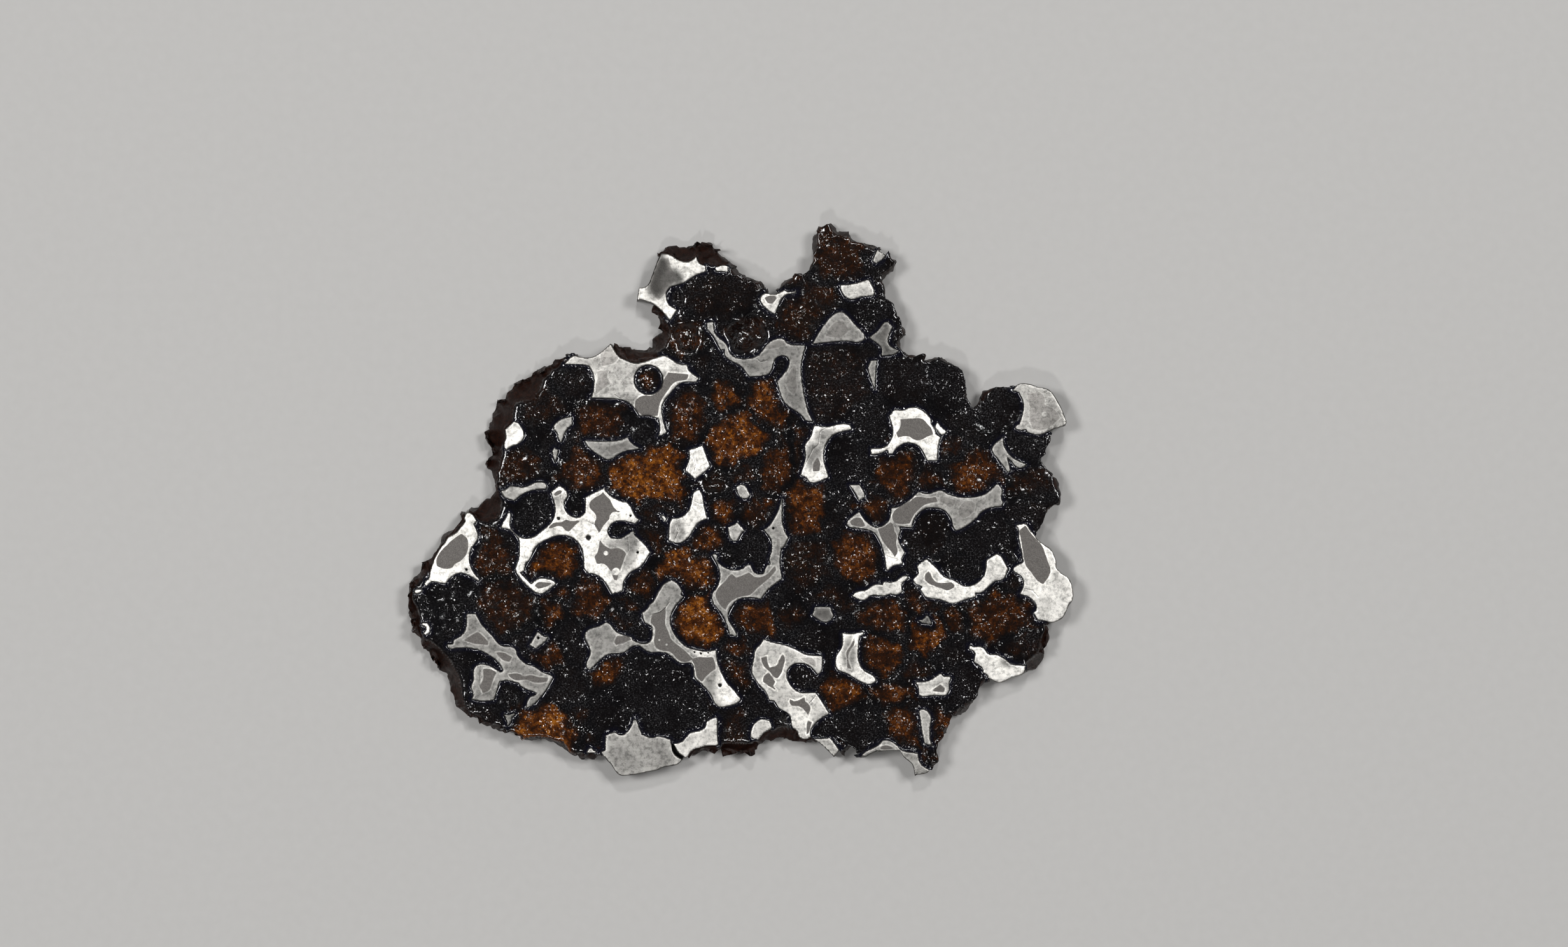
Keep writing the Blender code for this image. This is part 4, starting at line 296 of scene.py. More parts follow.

# Places where a patch is brighter or duller than the rest of it, partly its own tone and partly painted
# sheen: middle, half width, half height, brightness
SHADES = [
    (-1.3, -20.6, 1.7, 2.4, 1.0), (-4.0, -16.8, 1.6, 0.5, 0.9), (16.8, -6.8, 1.6, 1.6, 1.0),
    (22.5, 0.9, 1.6, 0.5, 0.55), (-13.2, -5.2, 1.9, 2.6, 0.55), (-12.2, -3.9, 1.2, 1.2, 0.5),
    (-22.0, 0.2, 3.0, 1.2, 0.6), (-8.6, 15.4, 1.8, 1.0, 1.0), (-9.4, 12.9, 1.4, 1.6, 0.45),
    (-12.9, 10.6, 2.0, 1.4, 0.5), (5.6, -6.3, 1.0, 1.4, 0.75), (8.0, -13.9, 1.6, 0.9, 0.5),
    (1.8, -17.4, 1.4, 1.0, 0.65), (6.4, -23.4, 1.6, 1.6, 0.95), (-26.2, -14.2, 1.6, 1.2, 0.6),
    (-9.2, 25.0, 1.5, 2.8, 0.12), (-7.6, 24.2, 1.4, 1.6, 0.25), (34.6, 9.0, 1.2, 2.0, 0.5),
    (32.0, -9.0, 2.2, 1.6, 1.0), (29.8, -17.6, 1.2, 0.8, 0.5), (20.6, -8.6, 1.4, 1.0, 0.7),
    (-16.8, 15.8, 1.4, 1.2, 0.6), (8.0, 5.0, 1.1, 1.6, 0.45), (9.4, 7.0, 1.2, 1.2, 0.5),
    (-7.0, -3.4, 0.9, 1.4, 0.6), (12.0, -17.0, 0.8, 2.0, 0.55), (-3.0, -12.4, 1.2, 1.2, 0.4),
]

# Small round pits in the metal: middle and radius
PITS = [
    (-20.17, -1.93, 0.22), (-16.86, -4.07, 0.38), (-30.35, -7.6, 0.16), (-22.4, -15.17, 0.16),
    (-12.2, -1.65, 0.14), (-11.4, -5.7, 0.16), (3.6, -3.03, 0.15), (-2.3, -20.4, 0.25), (-26.9, 2.9, 0.12),
    (-5.1, -16.75, 0.1), (-4.4, -16.9, 0.12), (-3.6, -16.8, 0.1), (19.2, -9.4, 0.1), (8.35, -20.9, 0.1),
]

# Bright blobs inside grey fields: middle and radius
BLOBS = [
    (-14.9, -5.8, 0.25), (-13.8, -7.8, 0.42), (-20.17, -1.93, 0.4), (3.6, -17.7, 0.6),
    (-12.05, 14.05, 0.25), (-9.0, -15.4, 0.12), (-8.2, -15.9, 0.12), (33.6, 9.6, 0.3),
]

# Hair cracks and the lines between grains of metal
CRACKS = [
    [(-19.85, 0.9), (-19.95, 0.3), (-19.75, -0.4), (-19.8, -1.1)],
    [(-12.6, -4.0), (-12.45, -4.7), (-12.4, -5.5)],
    [(-10.0, -12.6), (-8.9, -12.3), (-8.3, -11.8), (-7.9, -11.2)],
    [(-7.2, -2.6), (-6.9, -3.4), (-7.3, -4.3)],
    [(-5.2, 0.0), (-4.7, -0.25), (-4.2, -0.3)],
    [(16.0, -6.0), (16.7, -6.3), (17.3, -6.4)],
    [(6.8, 3.4), (7.2, 4.2), (7.7, 5.15), (8.0, 5.75), (8.6, 6.25), (8.7, 7.15), (8.8, 7.7), (9.55, 8.2)],
    [(-28.8, -18.3), (-28.85, -19.8), (-28.8, -21.4)],
    [(-16.9, -2.3), (-16.0, -2.7), (-15.5, -3.4)],
    [(-6.1, 4.9), (-5.7, 4.1), (-5.9, 3.3)],
    [(-5.2, 4.8), (-5.0, 4.0), (-5.1, 3.4)],
    [(22.5, -8.1), (23.4, -8.5), (24.6, -8.3)],
    [(7.6, -22.4), (8.3, -21.6), (8.4, -20.5)],
    [(-14.0, 11.8), (-13.1, 11.2), (-12.6, 10.4)],
    [(32.9, -10.6), (32.3, -9.9), (31.4, -9.7)],
    [(-30.0, -6.4), (-29.6, -5.2), (-29.9, -4.2)],
    [(1.2, 16.2), (2.2, 15.4), (3.0, 15.6)],
]


def top_rings(node):
    """The rings round a node's front face, in mm. A front triangle has all its corners off the back face, and
    a ring's side is a side of one front triangle alone."""
    mesh = node.data
    points = np.empty(len(mesh.vertices) * 3, np.float32)
    mesh.vertices.foreach_get("co", points)
    corners = np.empty(len(mesh.loops), np.int32)
    mesh.loops.foreach_get("vertex_index", corners)
    points, same = np.unique(np.round(points.reshape(-1, 3) / MM, 3), axis=0, return_inverse=True)
    triangles = same.ravel()[corners].reshape(-1, 3)
    triangles = triangles[(points[triangles, 2] > 0.01).all(axis=1)]
    sides = np.concatenate([triangles[:, [0, 1]], triangles[:, [1, 2]], triangles[:, [2, 0]]])
    codes = sides[:, 0] * len(points) + sides[:, 1]
    single = ~np.isin(codes, sides[:, 1] * len(points) + sides[:, 0])
    after = dict(sides[single].tolist())
    rings = []
    while after:
        start, at = after.popitem()
        ring = [start]
        while at != start:
            ring.append(at)
            at = after.pop(at)
        rings.append(points[ring, :2])
    return rings


def smooth_ring(ring, spacing):
    """Points at an even spacing along a curve through the ring's own points: between two of them a cubic
    whose ends follow the mean of the two sides there, or the side itself where the ring turns sharply."""
    side = np.roll(ring, -1, axis=0) - ring
    length = np.hypot(side[:, 0], side[:, 1])
    way = side / length[:, None]
    before = np.roll(way, 1, axis=0)
    mean = before + way
    mean /= np.maximum(np.hypot(mean[:, 0], mean[:, 1]), 1e-6)[:, None]
    sharp = ((before * way).sum(axis=1) < math.cos(math.radians(SHARP_TURN)))[:, None]
    leave = np.where(sharp, way, mean) * length[:, None]
    arrive = np.roll(np.where(sharp, before, mean), -1, axis=0) * length[:, None]
    count = np.maximum(1, np.round(length / spacing)).astype(int)
    of = np.repeat(np.arange(len(ring)), count)
    t = ((np.arange(count.sum()) - np.repeat(np.cumsum(count) - count, count)) / count[of])[:, None]
    start = ring[of]
    end = np.roll(ring, -1, axis=0)[of]
    return (
        (2 * t**3 - 3 * t**2 + 1) * start + (t**3 - 2 * t**2 + t) * leave[of]
        + (3 * t**2 - 2 * t**3) * end + (t**3 - t**2) * arrive[of]
    )


def inside(points, rings):
    """Whether each point is inside the rings: a line to its right crosses their sides an odd number of
    times."""
    odd = np.zeros(len(points), bool)
    for ring in rings:
        for (x0, y0), (x1, y1) in zip(ring, np.roll(ring, -1, axis=0)):
            if y0 == y1:
                continue
            between = (points[:, 1] < y0) != (points[:, 1] < y1)
            odd ^= between & (points[:, 0] < x0 + (points[:, 1] - y0) * (x1 - x0) / (y1 - y0))
    return odd


def distance(points, rings, reach=2.0, closed=True):
    """The distance of each point from the nearest side of the rings, or reach where none is nearer."""
    best = np.full(len(points), reach * reach)
    for ring in rings:
        beyond_low = (points > ring.min(axis=0) - reach).all(axis=1)
        near = np.flatnonzero(beyond_low & (points < ring.max(axis=0) + reach).all(axis=1))
        close = points[near]
        square = best[near]
        ends = np.roll(ring, -1, axis=0)
        for a, b in zip(ring if closed else ring[:-1], ends):
            way = b - a
            t = np.clip(((close - a) @ way) / max(way @ way, 1e-12), 0, 1)
            off = close - a - t[:, None] * way
            square = np.minimum(square, (off * off).sum(axis=1))
        best[near] = square
    return np.sqrt(best)


def hex_grid(low, high, spacing):
    """Points in staggered rows, an even spacing apart, over the box from low to high."""
    rows = np.arange(low[1], high[1], spacing * 0.866)
    x, y = np.meshgrid(np.arange(low[0], high[0], spacing), rows)
    x = x + np.where(np.arange(len(rows)) % 2, 0.5, 0.0)[:, None] * spacing
    return np.stack([x.ravel(), y.ravel()], axis=1)


def turning(ring):
    """Twice a ring's area, above 0 where it runs anticlockwise."""
    after = np.roll(ring, -1, axis=0)
    return (ring[:, 0] * after[:, 1] - ring[:, 1] * after[:, 0]).sum()


def triangulated(points, rings):
    """The points and rings as one net of triangles that has every side of the rings as an edge. It gives the
    points, the triangles, and for each triangle the numbers of the rings round it."""
    rings = [ring if turning(ring) > 0 else ring[::-1] for ring in rings]
    everything = np.concatenate([*rings, points])
    starts = np.cumsum([0] + [len(ring) for ring in rings])
    loops = [list(range(a, b)) for a, b in zip(starts[:-1], starts[1:])]
    out, _, faces, _, _, within = delaunay_2d_cdt([Vector(p) for p in everything], [], loops, 0, 1e-4, True)
    return np.array([(p.x, p.y) for p in out]), np.array(faces), within


def wander(x, y):
    """Where points of the front come out on the back: moved sideways by a sum of slow waves."""
    dx = np.sin(0.23 * x + 0.31 * y + 1.0) * 0.6 + np.sin(0.61 * y - 0.17 * x) * 0.4
    dy = np.sin(0.27 * y - 0.19 * x + 2.0) * 0.6 + np.sin(0.57 * x + 0.11 * y) * 0.4
    return np.stack([x + dx * BACK_SHIFT, y + dy * BACK_SHIFT], axis=1)


def slab(name, plan, triangles, top, bottom, rows, roughen=None):
    """A closed solid over a net of triangles: its front at the heights of top, its back at those of bottom,
    and between them walls of that many rows under the net's outer sides. roughen moves all its points. It
    gives the object and each point's number in the net."""
    sides = np.concatenate([triangles[:, [0, 1]], triangles[:, [1, 2]], triangles[:, [2, 0]]])
    codes = sides[:, 0] * len(plan) + sides[:, 1]
    rim = sides[~np.isin(codes, sides[:, 1] * len(plan) + sides[:, 0])]
    rim_points, rim_sides = np.unique(rim, return_inverse=True)
    rim_sides = rim_sides.reshape(-1, 2)
    share = (np.arange(1, rows) / rows)[:, None, None]
    front = np.column_stack([plan, top])
    back = np.column_stack([wander(plan[:, 0], plan[:, 1]), bottom])
    wall = (1 - share) * front[rim_points] + share * back[rim_points]
    points = np.concatenate([front, back, wall.reshape(-1, 3)])
    source = np.concatenate([np.arange(len(plan)), np.arange(len(plan)), np.tile(rim_points, rows - 1)])
    if roughen:
        points = roughen(points, source)
    between = 2 * len(plan) + np.arange((rows - 1) * len(rim_points)).reshape(rows - 1, len(rim_points))
    levels = np.concatenate([rim_points[None], between, rim_points[None] + len(plan)])
    a = levels[:-1][:, rim_sides[:, 0]].ravel()
    b = levels[:-1][:, rim_sides[:, 1]].ravel()
    c = levels[1:][:, rim_sides[:, 1]].ravel()
    d = levels[1:][:, rim_sides[:, 0]].ravel()
    faces = np.concatenate([
        triangles, triangles[:, ::-1] + len(plan), np.stack([a, d, b], axis=1), np.stack([b, d, c], axis=1)])
    mesh = bpy.data.meshes.new(name)
    mesh.vertices.add(len(points))
    mesh.vertices.foreach_set("co", (points * MM).astype(np.float32).ravel())
    mesh.loops.add(len(faces) * 3)
    mesh.loops.foreach_set("vertex_index", faces.astype(np.int32).ravel())
    mesh.polygons.add(len(faces))
    mesh.polygons.foreach_set("loop_start", np.arange(len(faces), dtype=np.int32) * 3)
    mesh.update(calc_edges=True)
    made = bpy.data.objects.new(name, mesh)
    scene.collection.objects.link(made)
    return made, source


def set_attribute(piece, name, values):
    """A number for each point of the piece, for its material to read."""
    layer = piece.data.attributes.new(name, "FLOAT", "POINT")
    layer.data.foreach_set("value", np.asarray(values, np.float32))


def attribute(tree, name):
    """The number that the piece's points carry under that name."""
    return add_node(tree, "Attribute", attribute_name=name).outputs["Fac"]


def times(value, factor, clamp=False):
    """The value multiplied by the factor, and held between 0 and 1 if clamp is set."""
    made = add_node(value.id_data, "Math", operation="MULTIPLY", in_0=value, in_1=factor, use_clamp=clamp)
    return made.outputs[0]


def plus(value, more):
    """The sum of the two."""
    return add_node(value.id_data, "Math", operation="ADD", in_0=value, in_1=more).outputs[0]


def mixed(share, first, second):
    """The first colour where the share is 0, the second where it is 1, and an even blend between."""
    made = add_node(share.id_data, "Mix", data_type="RGBA", in_0=share, in_6=first, in_7=second)
    return made.outputs[2]


metal_material, tree, shader = new_material("etched iron-nickel")
place = add_node(tree, "TexCoord").outputs["Object"]
in_grey = attribute(tree, "in_grey")
greyness = attribute(tree, "greyness")
to_edge = attribute(tree, "to_edge")
brightness = attribute(tree, "brightness")
dark_mark = attribute(tree, "dark_mark")
cloud = noise(place, 450.0, 4.0, 0.6)
mottle = noise(place, 2200.0, 6.0, 0.75)
sand = noise(place, 9000.0, 3.0)
turned = add_node(tree, "Mapping", in_Vector=place, in_Rotation=(0, 0, 0.4), in_Scale=(400.0, 9000.0, 400.0))
scratch = noise(turned.outputs[0], 1.0, 3.0)

# the border of a grey field wavers a little and has a thin bright line on it
wavering = remap(mottle, 0.3, 0.7, -0.06, 0.06)
field = plus(in_grey, wavering)
grey = remap(field, -0.02, 0.03)
grey = times(grey, greyness)
off_line = plus(field, 0.08)
off_line = add_node(tree, "Math", operation="ABSOLUTE", in_0=off_line).outputs[0]
line = remap(off_line, 0.03, 0.12, 1.0, 0.0)
line = times(line, greyness)

# bright metal has fine darker specks, and the grey fields an even sandy grain
specks = remap(mottle, 0.36, 0.54, 0.45, 1.0)
clouds = remap(cloud, 0.32, 0.62, 0.68, 1.08)
worn = remap(scratch, 0.28, 0.5, 0.9, 1.0)
bright = times(specks, clouds)
bright = times(bright, worn)
# brightness carries each patch's own tone and its painted sheen into the colour
brighter = remap(line, 0.0, 1.0, 1.0, 1.6)
brighter = times(brighter, brightness, clamp=True)
bright = times(bright, brighter)
sandy = remap(sand, 0.3, 0.7, 0.095, 0.165)
tone = add_node(tree, "Mix", data_type="FLOAT", in_0=grey, in_2=bright, in_3=sandy).outputs[0]
edge_dark = remap(to_edge, 0.0, 0.06, 0.3, 1.0)
tone = times(tone, edge_dark)
unmarked = remap(dark_mark, 0.0, 1.0, 1.0, 0.02)
tone = times(tone, unmarked)
tint = mixed(grey, (1.0, 0.97, 0.91, 1), (1.0, 0.93, 0.87, 1))
final = add_node(tree, "VectorMath", operation="SCALE", in_0=tint, in_Scale=tone)
tree.links.new(final.outputs[0], shader.inputs["Base Color"])
shader.inputs["Metallic"].default_value = 1.0
rough = remap(grey, 0.0, 1.0, 0.42, 0.5)
tree.links.new(rough, shader.inputs["Roughness"])
fine_scratch = times(scratch, 0.3)
relief = plus(mottle, fine_scratch)
bump = add_node(tree, "Bump", in_Strength=0.6, in_Distance=0.00004, in_Height=relief)
tree.links.new(bump.outputs[0], shader.inputs["Normal"])


def smooth_step(value, low, high):
    """0 below low, 1 above high and a smooth s-curve between them."""
    t = np.clip((value - low) / (high - low), 0, 1)
    return t * t * (3 - 2 * t)


def circle(x, y, radius, count=14):
    """Points evenly round a circle, anticlockwise."""
    angles = np.arange(count) * 2 * math.pi / count
    return np.column_stack([x + radius * np.cos(angles), y + radius * np.sin(angles)])


def along(line, spacing):
    """Points at an even spacing along a line of straight runs."""
    line = np.array(line, float)
    run = np.concatenate([[0], np.cumsum(np.hypot(*np.diff(line, axis=0).T))])
    at = np.linspace(0, run[-1], max(2, round(run[-1] / spacing)))
    return np.column_stack([np.interp(at, run, line[:, 0]), np.interp(at, run, line[:, 1])])


metal_rings = {}
grey_outlines = [(smooth_ring(np.array(field), FIELD_SPACING), 1.0) for field in GREY_FIELDS]
grey_outlines += [(smooth_ring(np.array(field), FIELD_SPACING), FAINT) for field in FAINT_FIELDS]
crack_lines = [along(line, CRACK_SPACING) for line in CRACKS]
beside = np.array([(0, 0), (1, 0), (-1, 0), (0, 1), (0, -1)]) * CRACK_SIDE
crack_points = np.concatenate([line + side for line in crack_lines for side in beside])
for name, node in sorted(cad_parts.items()):
    if not name.startswith("metal_"):
        continue
    rings = [smooth_ring(ring, EDGE_SPACING) for ring in top_rings(node)]
    metal_rings[name] = rings
    low = np.min([ring.min(axis=0) for ring in rings], axis=0)
    high = np.max([ring.max(axis=0) for ring in rings], axis=0)
    marks = [circle(*spot) for spot in PITS + BLOBS if (low < spot[:2]).all() and (high > spot[:2]).all()]
    grid = np.concatenate([hex_grid(low, high, METAL_SPACING), crack_points])
    for mark in marks:
        inner_ring = mark.mean(axis=0) + (mark - mark.mean(axis=0)) * MARK_INNER_RING
        grid = np.concatenate([grid, mark, inner_ring])
    grid = grid[inside(grid, rings)]
    grid = grid[distance(grid, rings) > METAL_SPACING * CLEAR_OF_EDGE]
    plan, triangles, _ = triangulated(grid, rings)
    triangles = triangles[inside(plan[triangles].mean(axis=1), rings)]
    to_ring = distance(plan, rings)
    signed = np.full(len(plan), -2.0)
    strength = np.ones(len(plan))
    for field, field_strength in grey_outlines:
        if (field.min(axis=0) < high).all() and (field.max(axis=0) > low).all():
            from_field = distance(plan, [field])
            from_field = np.where(inside(plan, [field]), from_field, -from_field)
            strength = np.where(from_field > signed, field_strength, strength)
            signed = np.maximum(signed, from_field)
    for spot_x, spot_y, radius in BLOBS:
        signed = np.minimum(signed, np.hypot(plan[:, 0] - spot_x, plan[:, 1] - spot_y) - radius)
    pit = np.zeros(len(plan))
    for spot_x, spot_y, radius in PITS:
        pit = np.maximum(pit, np.hypot(plan[:, 0] - spot_x, plan[:, 1] - spot_y) < radius * PIT_FLOOR)
    crack = np.clip(1 - distance(plan, crack_lines, 0.3, False) / CRACK_WIDTH, 0, 1)
    # painted sheen: the colour's brightness for each patch, then its brighter and duller places
    shade = np.full(len(plan), BRIGHTNESS.get(name, 1.0))
    for spot_x, spot_y, half_width, half_height, value in SHADES:
        r = np.hypot((plan[:, 0] - spot_x) / half_width, (plan[:, 1] - spot_y) / half_height)
        shade += (value - shade) * (1 - smooth_step(r, 0.6, 1.25))
    # painted gleam: the colour is brighter near each patch's edge
    shade += (1 - shade) * GLEAM * np.exp(-((to_ring / GLEAM_WIDTH) ** 2))
    rounding = np.clip(EDGE_ROUNDING - to_ring, 0, None) * EDGE_FALL
    top = FACE_HEIGHT - rounding - PIT_DEPTH * pit - CRACK_DEPTH * crack
    piece, source = slab(name.replace("metal_", "iron_"), plan, triangles, top, np.zeros(len(plan)), 1)
    set_attribute(piece, "to_edge", to_ring[source])
    set_attribute(piece, "in_grey", signed[source])
    set_attribute(piece, "greyness", strength[source])
    set_attribute(piece, "brightness", shade[source] ** CONTRAST)
    set_attribute(piece, "dark_mark", np.maximum(pit, crack * CRACK_DARKNESS)[source])
    piece.data.materials.append(metal_material)
    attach(piece, "root")
    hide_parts(name)

# The olivine crystals, grown together into one body that holds the metal: glassy, black to charcoal along
# their rims and rust to amber inside, cut a hair lower than the metal. The amber is their own colour with a
# painted glow of light through them, and the dark rims are partly painted shade where that glow fades. The
# slice's outer edge is their natural weathered skin, brown and rough.
CRYSTAL_SPACING = 0.3
CRYSTAL_EDGE_SPACING = 0.25
GRID_MARGIN = 0.2
CRYSTAL_FACE = FACE_HEIGHT - 0.1
LOWEST_SKIN = 0.3
BACK_STEP = 0.03
RIM_ROWS = 4
GAP_REACH = 0.34
PROBE_HEIGHT = 10.0
SEAM_WIDTH = 0.09
SEAM_DEPTH = 0.02
CHIP_DEPTH = 0.07
FACET_DEPTH = 0.006

# Each crystal: middle x and y, half width, half height, turn in degrees, glow from 0 (black) to 1 (amber):
# its own colour with a painted glow of light through it
CRYSTALS = [
    (-16.0, 9.0, 3.0, 2.2, 0, 0.55), (-6.3, 10.0, 2.3, 3.2, 0, 0.55), (-2.0, 12.0, 1.3, 2.3, 0, 0.75),
    (2.8, 11.3, 1.4, 2.4, 0, 0.75), (-0.5, 6.3, 3.4, 3.0, 0, 0.9), (-10.5, 3.0, 4.2, 3.6, 0, 1.0),
    (-17.5, 3.0, 2.6, 2.6, 0, 0.6), (-24.0, 4.0, 2.6, 2.6, 0, 0.4), (16.8, 2.8, 2.2, 2.2, 0, 0.65),
    (23.6, 6.6, 1.5, 1.8, 0, 0.6), (25.3, 2.8, 3.5, 2.2, 0, 0.7), (21.5, 2.0, 2.0, 1.5, 0, 0.6),
    (7.0, 21.5, 3.8, 3.2, 0, 0.35), (11.8, 26.5, 3.2, 2.8, 0, 0.42), (10.3, 13.2, 3.6, 4.3, 0, 0.22),
    (12.0, 4.8, 2.8, 2.9, 0, 0.05), (18.9, 13.5, 2.9, 3.1, 0, 0.12), (22.8, 12.5, 2.1, 3.5, 0, 0.05),
    (28.3, 10.8, 2.9, 2.9, 0, 0.08), (31.5, 5.8, 2.4, 2.2, 0, 0.05), (14.0, 20.5, 2.8, 2.2, 0, 0.05),
    (-2.0, 22.5, 4.6, 2.5, 8, 0.2), (-10.6, 7.8, 1.8, 1.8, 0, 0.05), (4.4, 14.9, 1.1, 1.4, 0, 0.02),
    (-18.0, 13.5, 3.0, 3.0, 0, 0.15), (32.2, 1.5, 2.4, 2.6, 0, 0.3), (-6.2, 27.4, 1.3, 1.3, 0, 0.25),
    (-3.4, 27.2, 1.5, 1.3, 0, 0.2), (0.7, 18.3, 2.6, 2.7, 0, 0.3), (-5.8, 18.2, 2.8, 2.4, 0, 0.42),
    (-11.8, 16.3, 2.0, 0.7, 0, 0.5), (-3.5, 1.9, 1.6, 1.6, 0, 0.3), (-22.0, 10.5, 3.2, 2.8, 0, 0.3),
    (-27.5, -6.0, 2.7, 2.9, 0, 0.5), (-22.9, -1.3, 2.6, 2.9, 0, 0.03), (-18.3, -0.4, 1.2, 1.6, 0, 0.03),
    (-20.2, -6.8, 3.0, 2.4, 0, 0.85), (-32.5, -11.5, 3.6, 3.1, 0, 0.03), (-26.5, -12.0, 3.6, 3.6, 0, 0.42),
    (-20.6, -11.8, 1.5, 1.4, 0, 0.7), (-19.5, -10.2, 2.4, 1.4, 0, 0.6), (-13.3, -3.2, 1.5, 0.95, 20, 0.03),
    (-3.8, -4.4, 2.4, 2.1, 0, 0.75), (-6.0, -7.2, 2.7, 2.4, 0, 0.85), (-9.5, -4.5, 1.5, 1.8, 0, 0.45),
    (-17.0, -10.5, 2.7, 2.6, 0, 0.62), (-11.3, -9.5, 1.8, 1.8, 0, 0.5), (-12.2, -11.6, 1.4, 1.3, 0, 0.65),
    (-13.3, -12.7, 1.5, 1.2, 0, 0.4), (-5.0, -13.3, 2.9, 2.8, 0, 1.05), (-10.9, -14.7, 1.1, 1.1, 0, 0.1),
    (-2.0, -1.5, 1.6, 1.6, 0, 0.7), (1.5, -1.8, 1.9, 1.7, 0, 0.45), (0.3, -5.5, 2.9, 2.6, 0, 0.05),
    (2.0, -7.4, 0.8, 0.8, 0, 0.02), (1.2, -12.6, 2.3, 2.2, 0, 0.75), (7.5, -1.0, 2.9, 3.3, 0, 0.8),
    (7.5, -7.0, 2.9, 3.3, 0, 0.3), (12.8, -6.0, 3.1, 3.5, 0, 0.72), (14.8, -0.7, 1.7, 1.6, 0, 0.65),
    (5.2, -12.0, 1.3, 1.3, 0, 0.4), (9.7, -10.3, 2.4, 1.6, 0, 0.3), (17.0, -8.0, 1.5, 0.9, 0, 0.05),
    (21.2, -2.9, 2.3, 2.2, 0, 0.15), (26.5, -4.5, 3.1, 3.0, 0, 0.06), (24.5, -7.5, 2.4, 1.9, 0, 0.08),
    (30.1, -9.3, 1.3, 1.3, 0, 0.25), (32.5, -0.8, 2.6, 2.0, 0, 0.15), (16.5, -13.0, 2.4, 2.6, 0, 0.62),
    (20.8, -15.0, 3.0, 2.4, 0, 0.85), (28.5, -13.0, 4.6, 3.6, 0, 0.55), (-33.5, -16.0, 2.2, 2.0, 0, 0.08),
    (-21.2, -17.0, 1.8, 1.6, 0, 0.6), (-21.3, -25.2, 5.0, 2.9, -15, 0.95),
    (-26.8, -21.2, 2.0, 2.0, 0, 0.06), (-28.5, -24.0, 3.0, 1.5, 0, 0.15), (-14.0, -19.0, 2.6, 2.3, 0, 0.75),
    (-10.0, -21.0, 5.0, 4.5, 0, 0.04), (-14.0, -23.6, 2.6, 2.2, 0, 0.06), (-18.0, -24.8, 1.5, 2.6, 0, 0.5),
    (-0.2, -16.2, 1.2, 1.4, 0, 0.55), (-0.3, -18.9, 1.3, 1.5, 0, 0.5), (-1.0, -23.8, 1.9, 1.8, 0, 0.3),
    (2.2, -22.8, 2.0, 1.8, 0, 0.08), (6.8, -19.5, 1.8, 1.8, 0, 0.12), (16.2, -16.9, 2.6, 2.8, 0, 0.7),
    (11.0, -21.8, 2.6, 2.3, 0, 0.75), (16.7, -21.2, 2.3, 1.5, 0, 0.65), (17.6, -24.9, 2.0, 2.3, 0, 0.7),
    (12.5, -25.0, 3.1, 2.6, 0, 0.08), (4.7, -24.0, 1.2, 1.4, 0, 0.2), (22.8, -24.6, 1.4, 1.6, 0, 0.6),
    (19.0, -18.6, 1.8, 1.5, 0, 0.35), (24.8, -20.3, 2.9, 3.0, 0, 0.08), (23.5, -16.8, 2.4, 2.2, 0, 0.12),
    (30.6, -15.9, 2.8, 2.4, 0, 0.25), (-24.5, -15.2, 1.8, 1.6, 0, 0.15), (-18.0, -15.5, 2.2, 2.0, 0, 0.1),
    (-19.5, -20.8, 2.2, 2.4, 0, 0.12), (-33.8, -12.5, 2.0, 2.4, 0, 0.03), (-28.2, -1.0, 1.6, 1.7, 0, 0.3),
    (7.2, 4.6, 1.2, 2.0, 0, 0.5), (3.6, 3.6, 2.2, 2.2, 0, 0.6), (0.6, 3.8, 2.0, 1.6, 0, 0.55),
    (20.0, -11.4, 2.2, 1.2, 0, 0.55), (24.0, -13.2, 2.0, 1.8, 0, 0.6), (9.2, -15.2, 2.0, 1.6, 0, 0.08),
    (4.9, -10.8, 1.4, 1.0, 0, 0.08), (10.0, -1.8, 1.4, 2.6, 0, 0.15), (20.0, 7.6, 1.0, 1.0, 0, 0.3),
    (14.0, 8.6, 2.6, 2.0, 0, 0.06), (24.4, 8.3, 2.6, 2.0, 0, 0.1), (-25.3, -4.2, 1.0, 1.2, 0, 0.05),
    (18.2, 19.8, 1.6, 1.5, 0, 0.1), (-9.9, -1.2, 1.6, 1.6, 0, 0.5), (-1.4, 15.0, 2.6, 1.8, 0, 0.12),
    (-3.9, 15.5, 1.6, 2.4, 0, 0.15), (-21.5, 6.5, 1.7, 2.4, 0, 0.1), (-25.8, 10.4, 1.8, 1.5, 0, 0.3),
    (14.6, 26.0, 1.8, 2.2, 0, 0.15),
]

# Hollows left by crystals that broke out: middle, half width, half height and depth
HOLLOWS = [
    (0.6, 18.35, 2.0, 2.1, 1.5), (-6.0, 18.2, 1.5, 1.7, 0.8), (-7.2, 22.5, 0.8, 1.3, 0.7),
    (-3.3, 1.75, 1.1, 0.9, 0.6), (5.0, -24.0, 0.55, 0.8, 0.6),
]


def waves(x, y, z, size, seed, count=14):
    """Smooth lumps about one size across: the mean of that many sine waves in random directions."""
    draw = np.random.default_rng(seed)
    total = np.zeros(np.shape(x))
    drawn = zip(draw.normal(size=(count, 3)), draw.uniform(0, 6.3, count), draw.uniform(0.7, 1.5, count))
    for way, phase, scale in drawn:
        way = way / np.linalg.norm(way) * math.pi * scale / size
        total += np.sin(x * way[0] + y * way[1] + z * way[2] + phase)
    return total / math.sqrt(count / 2)


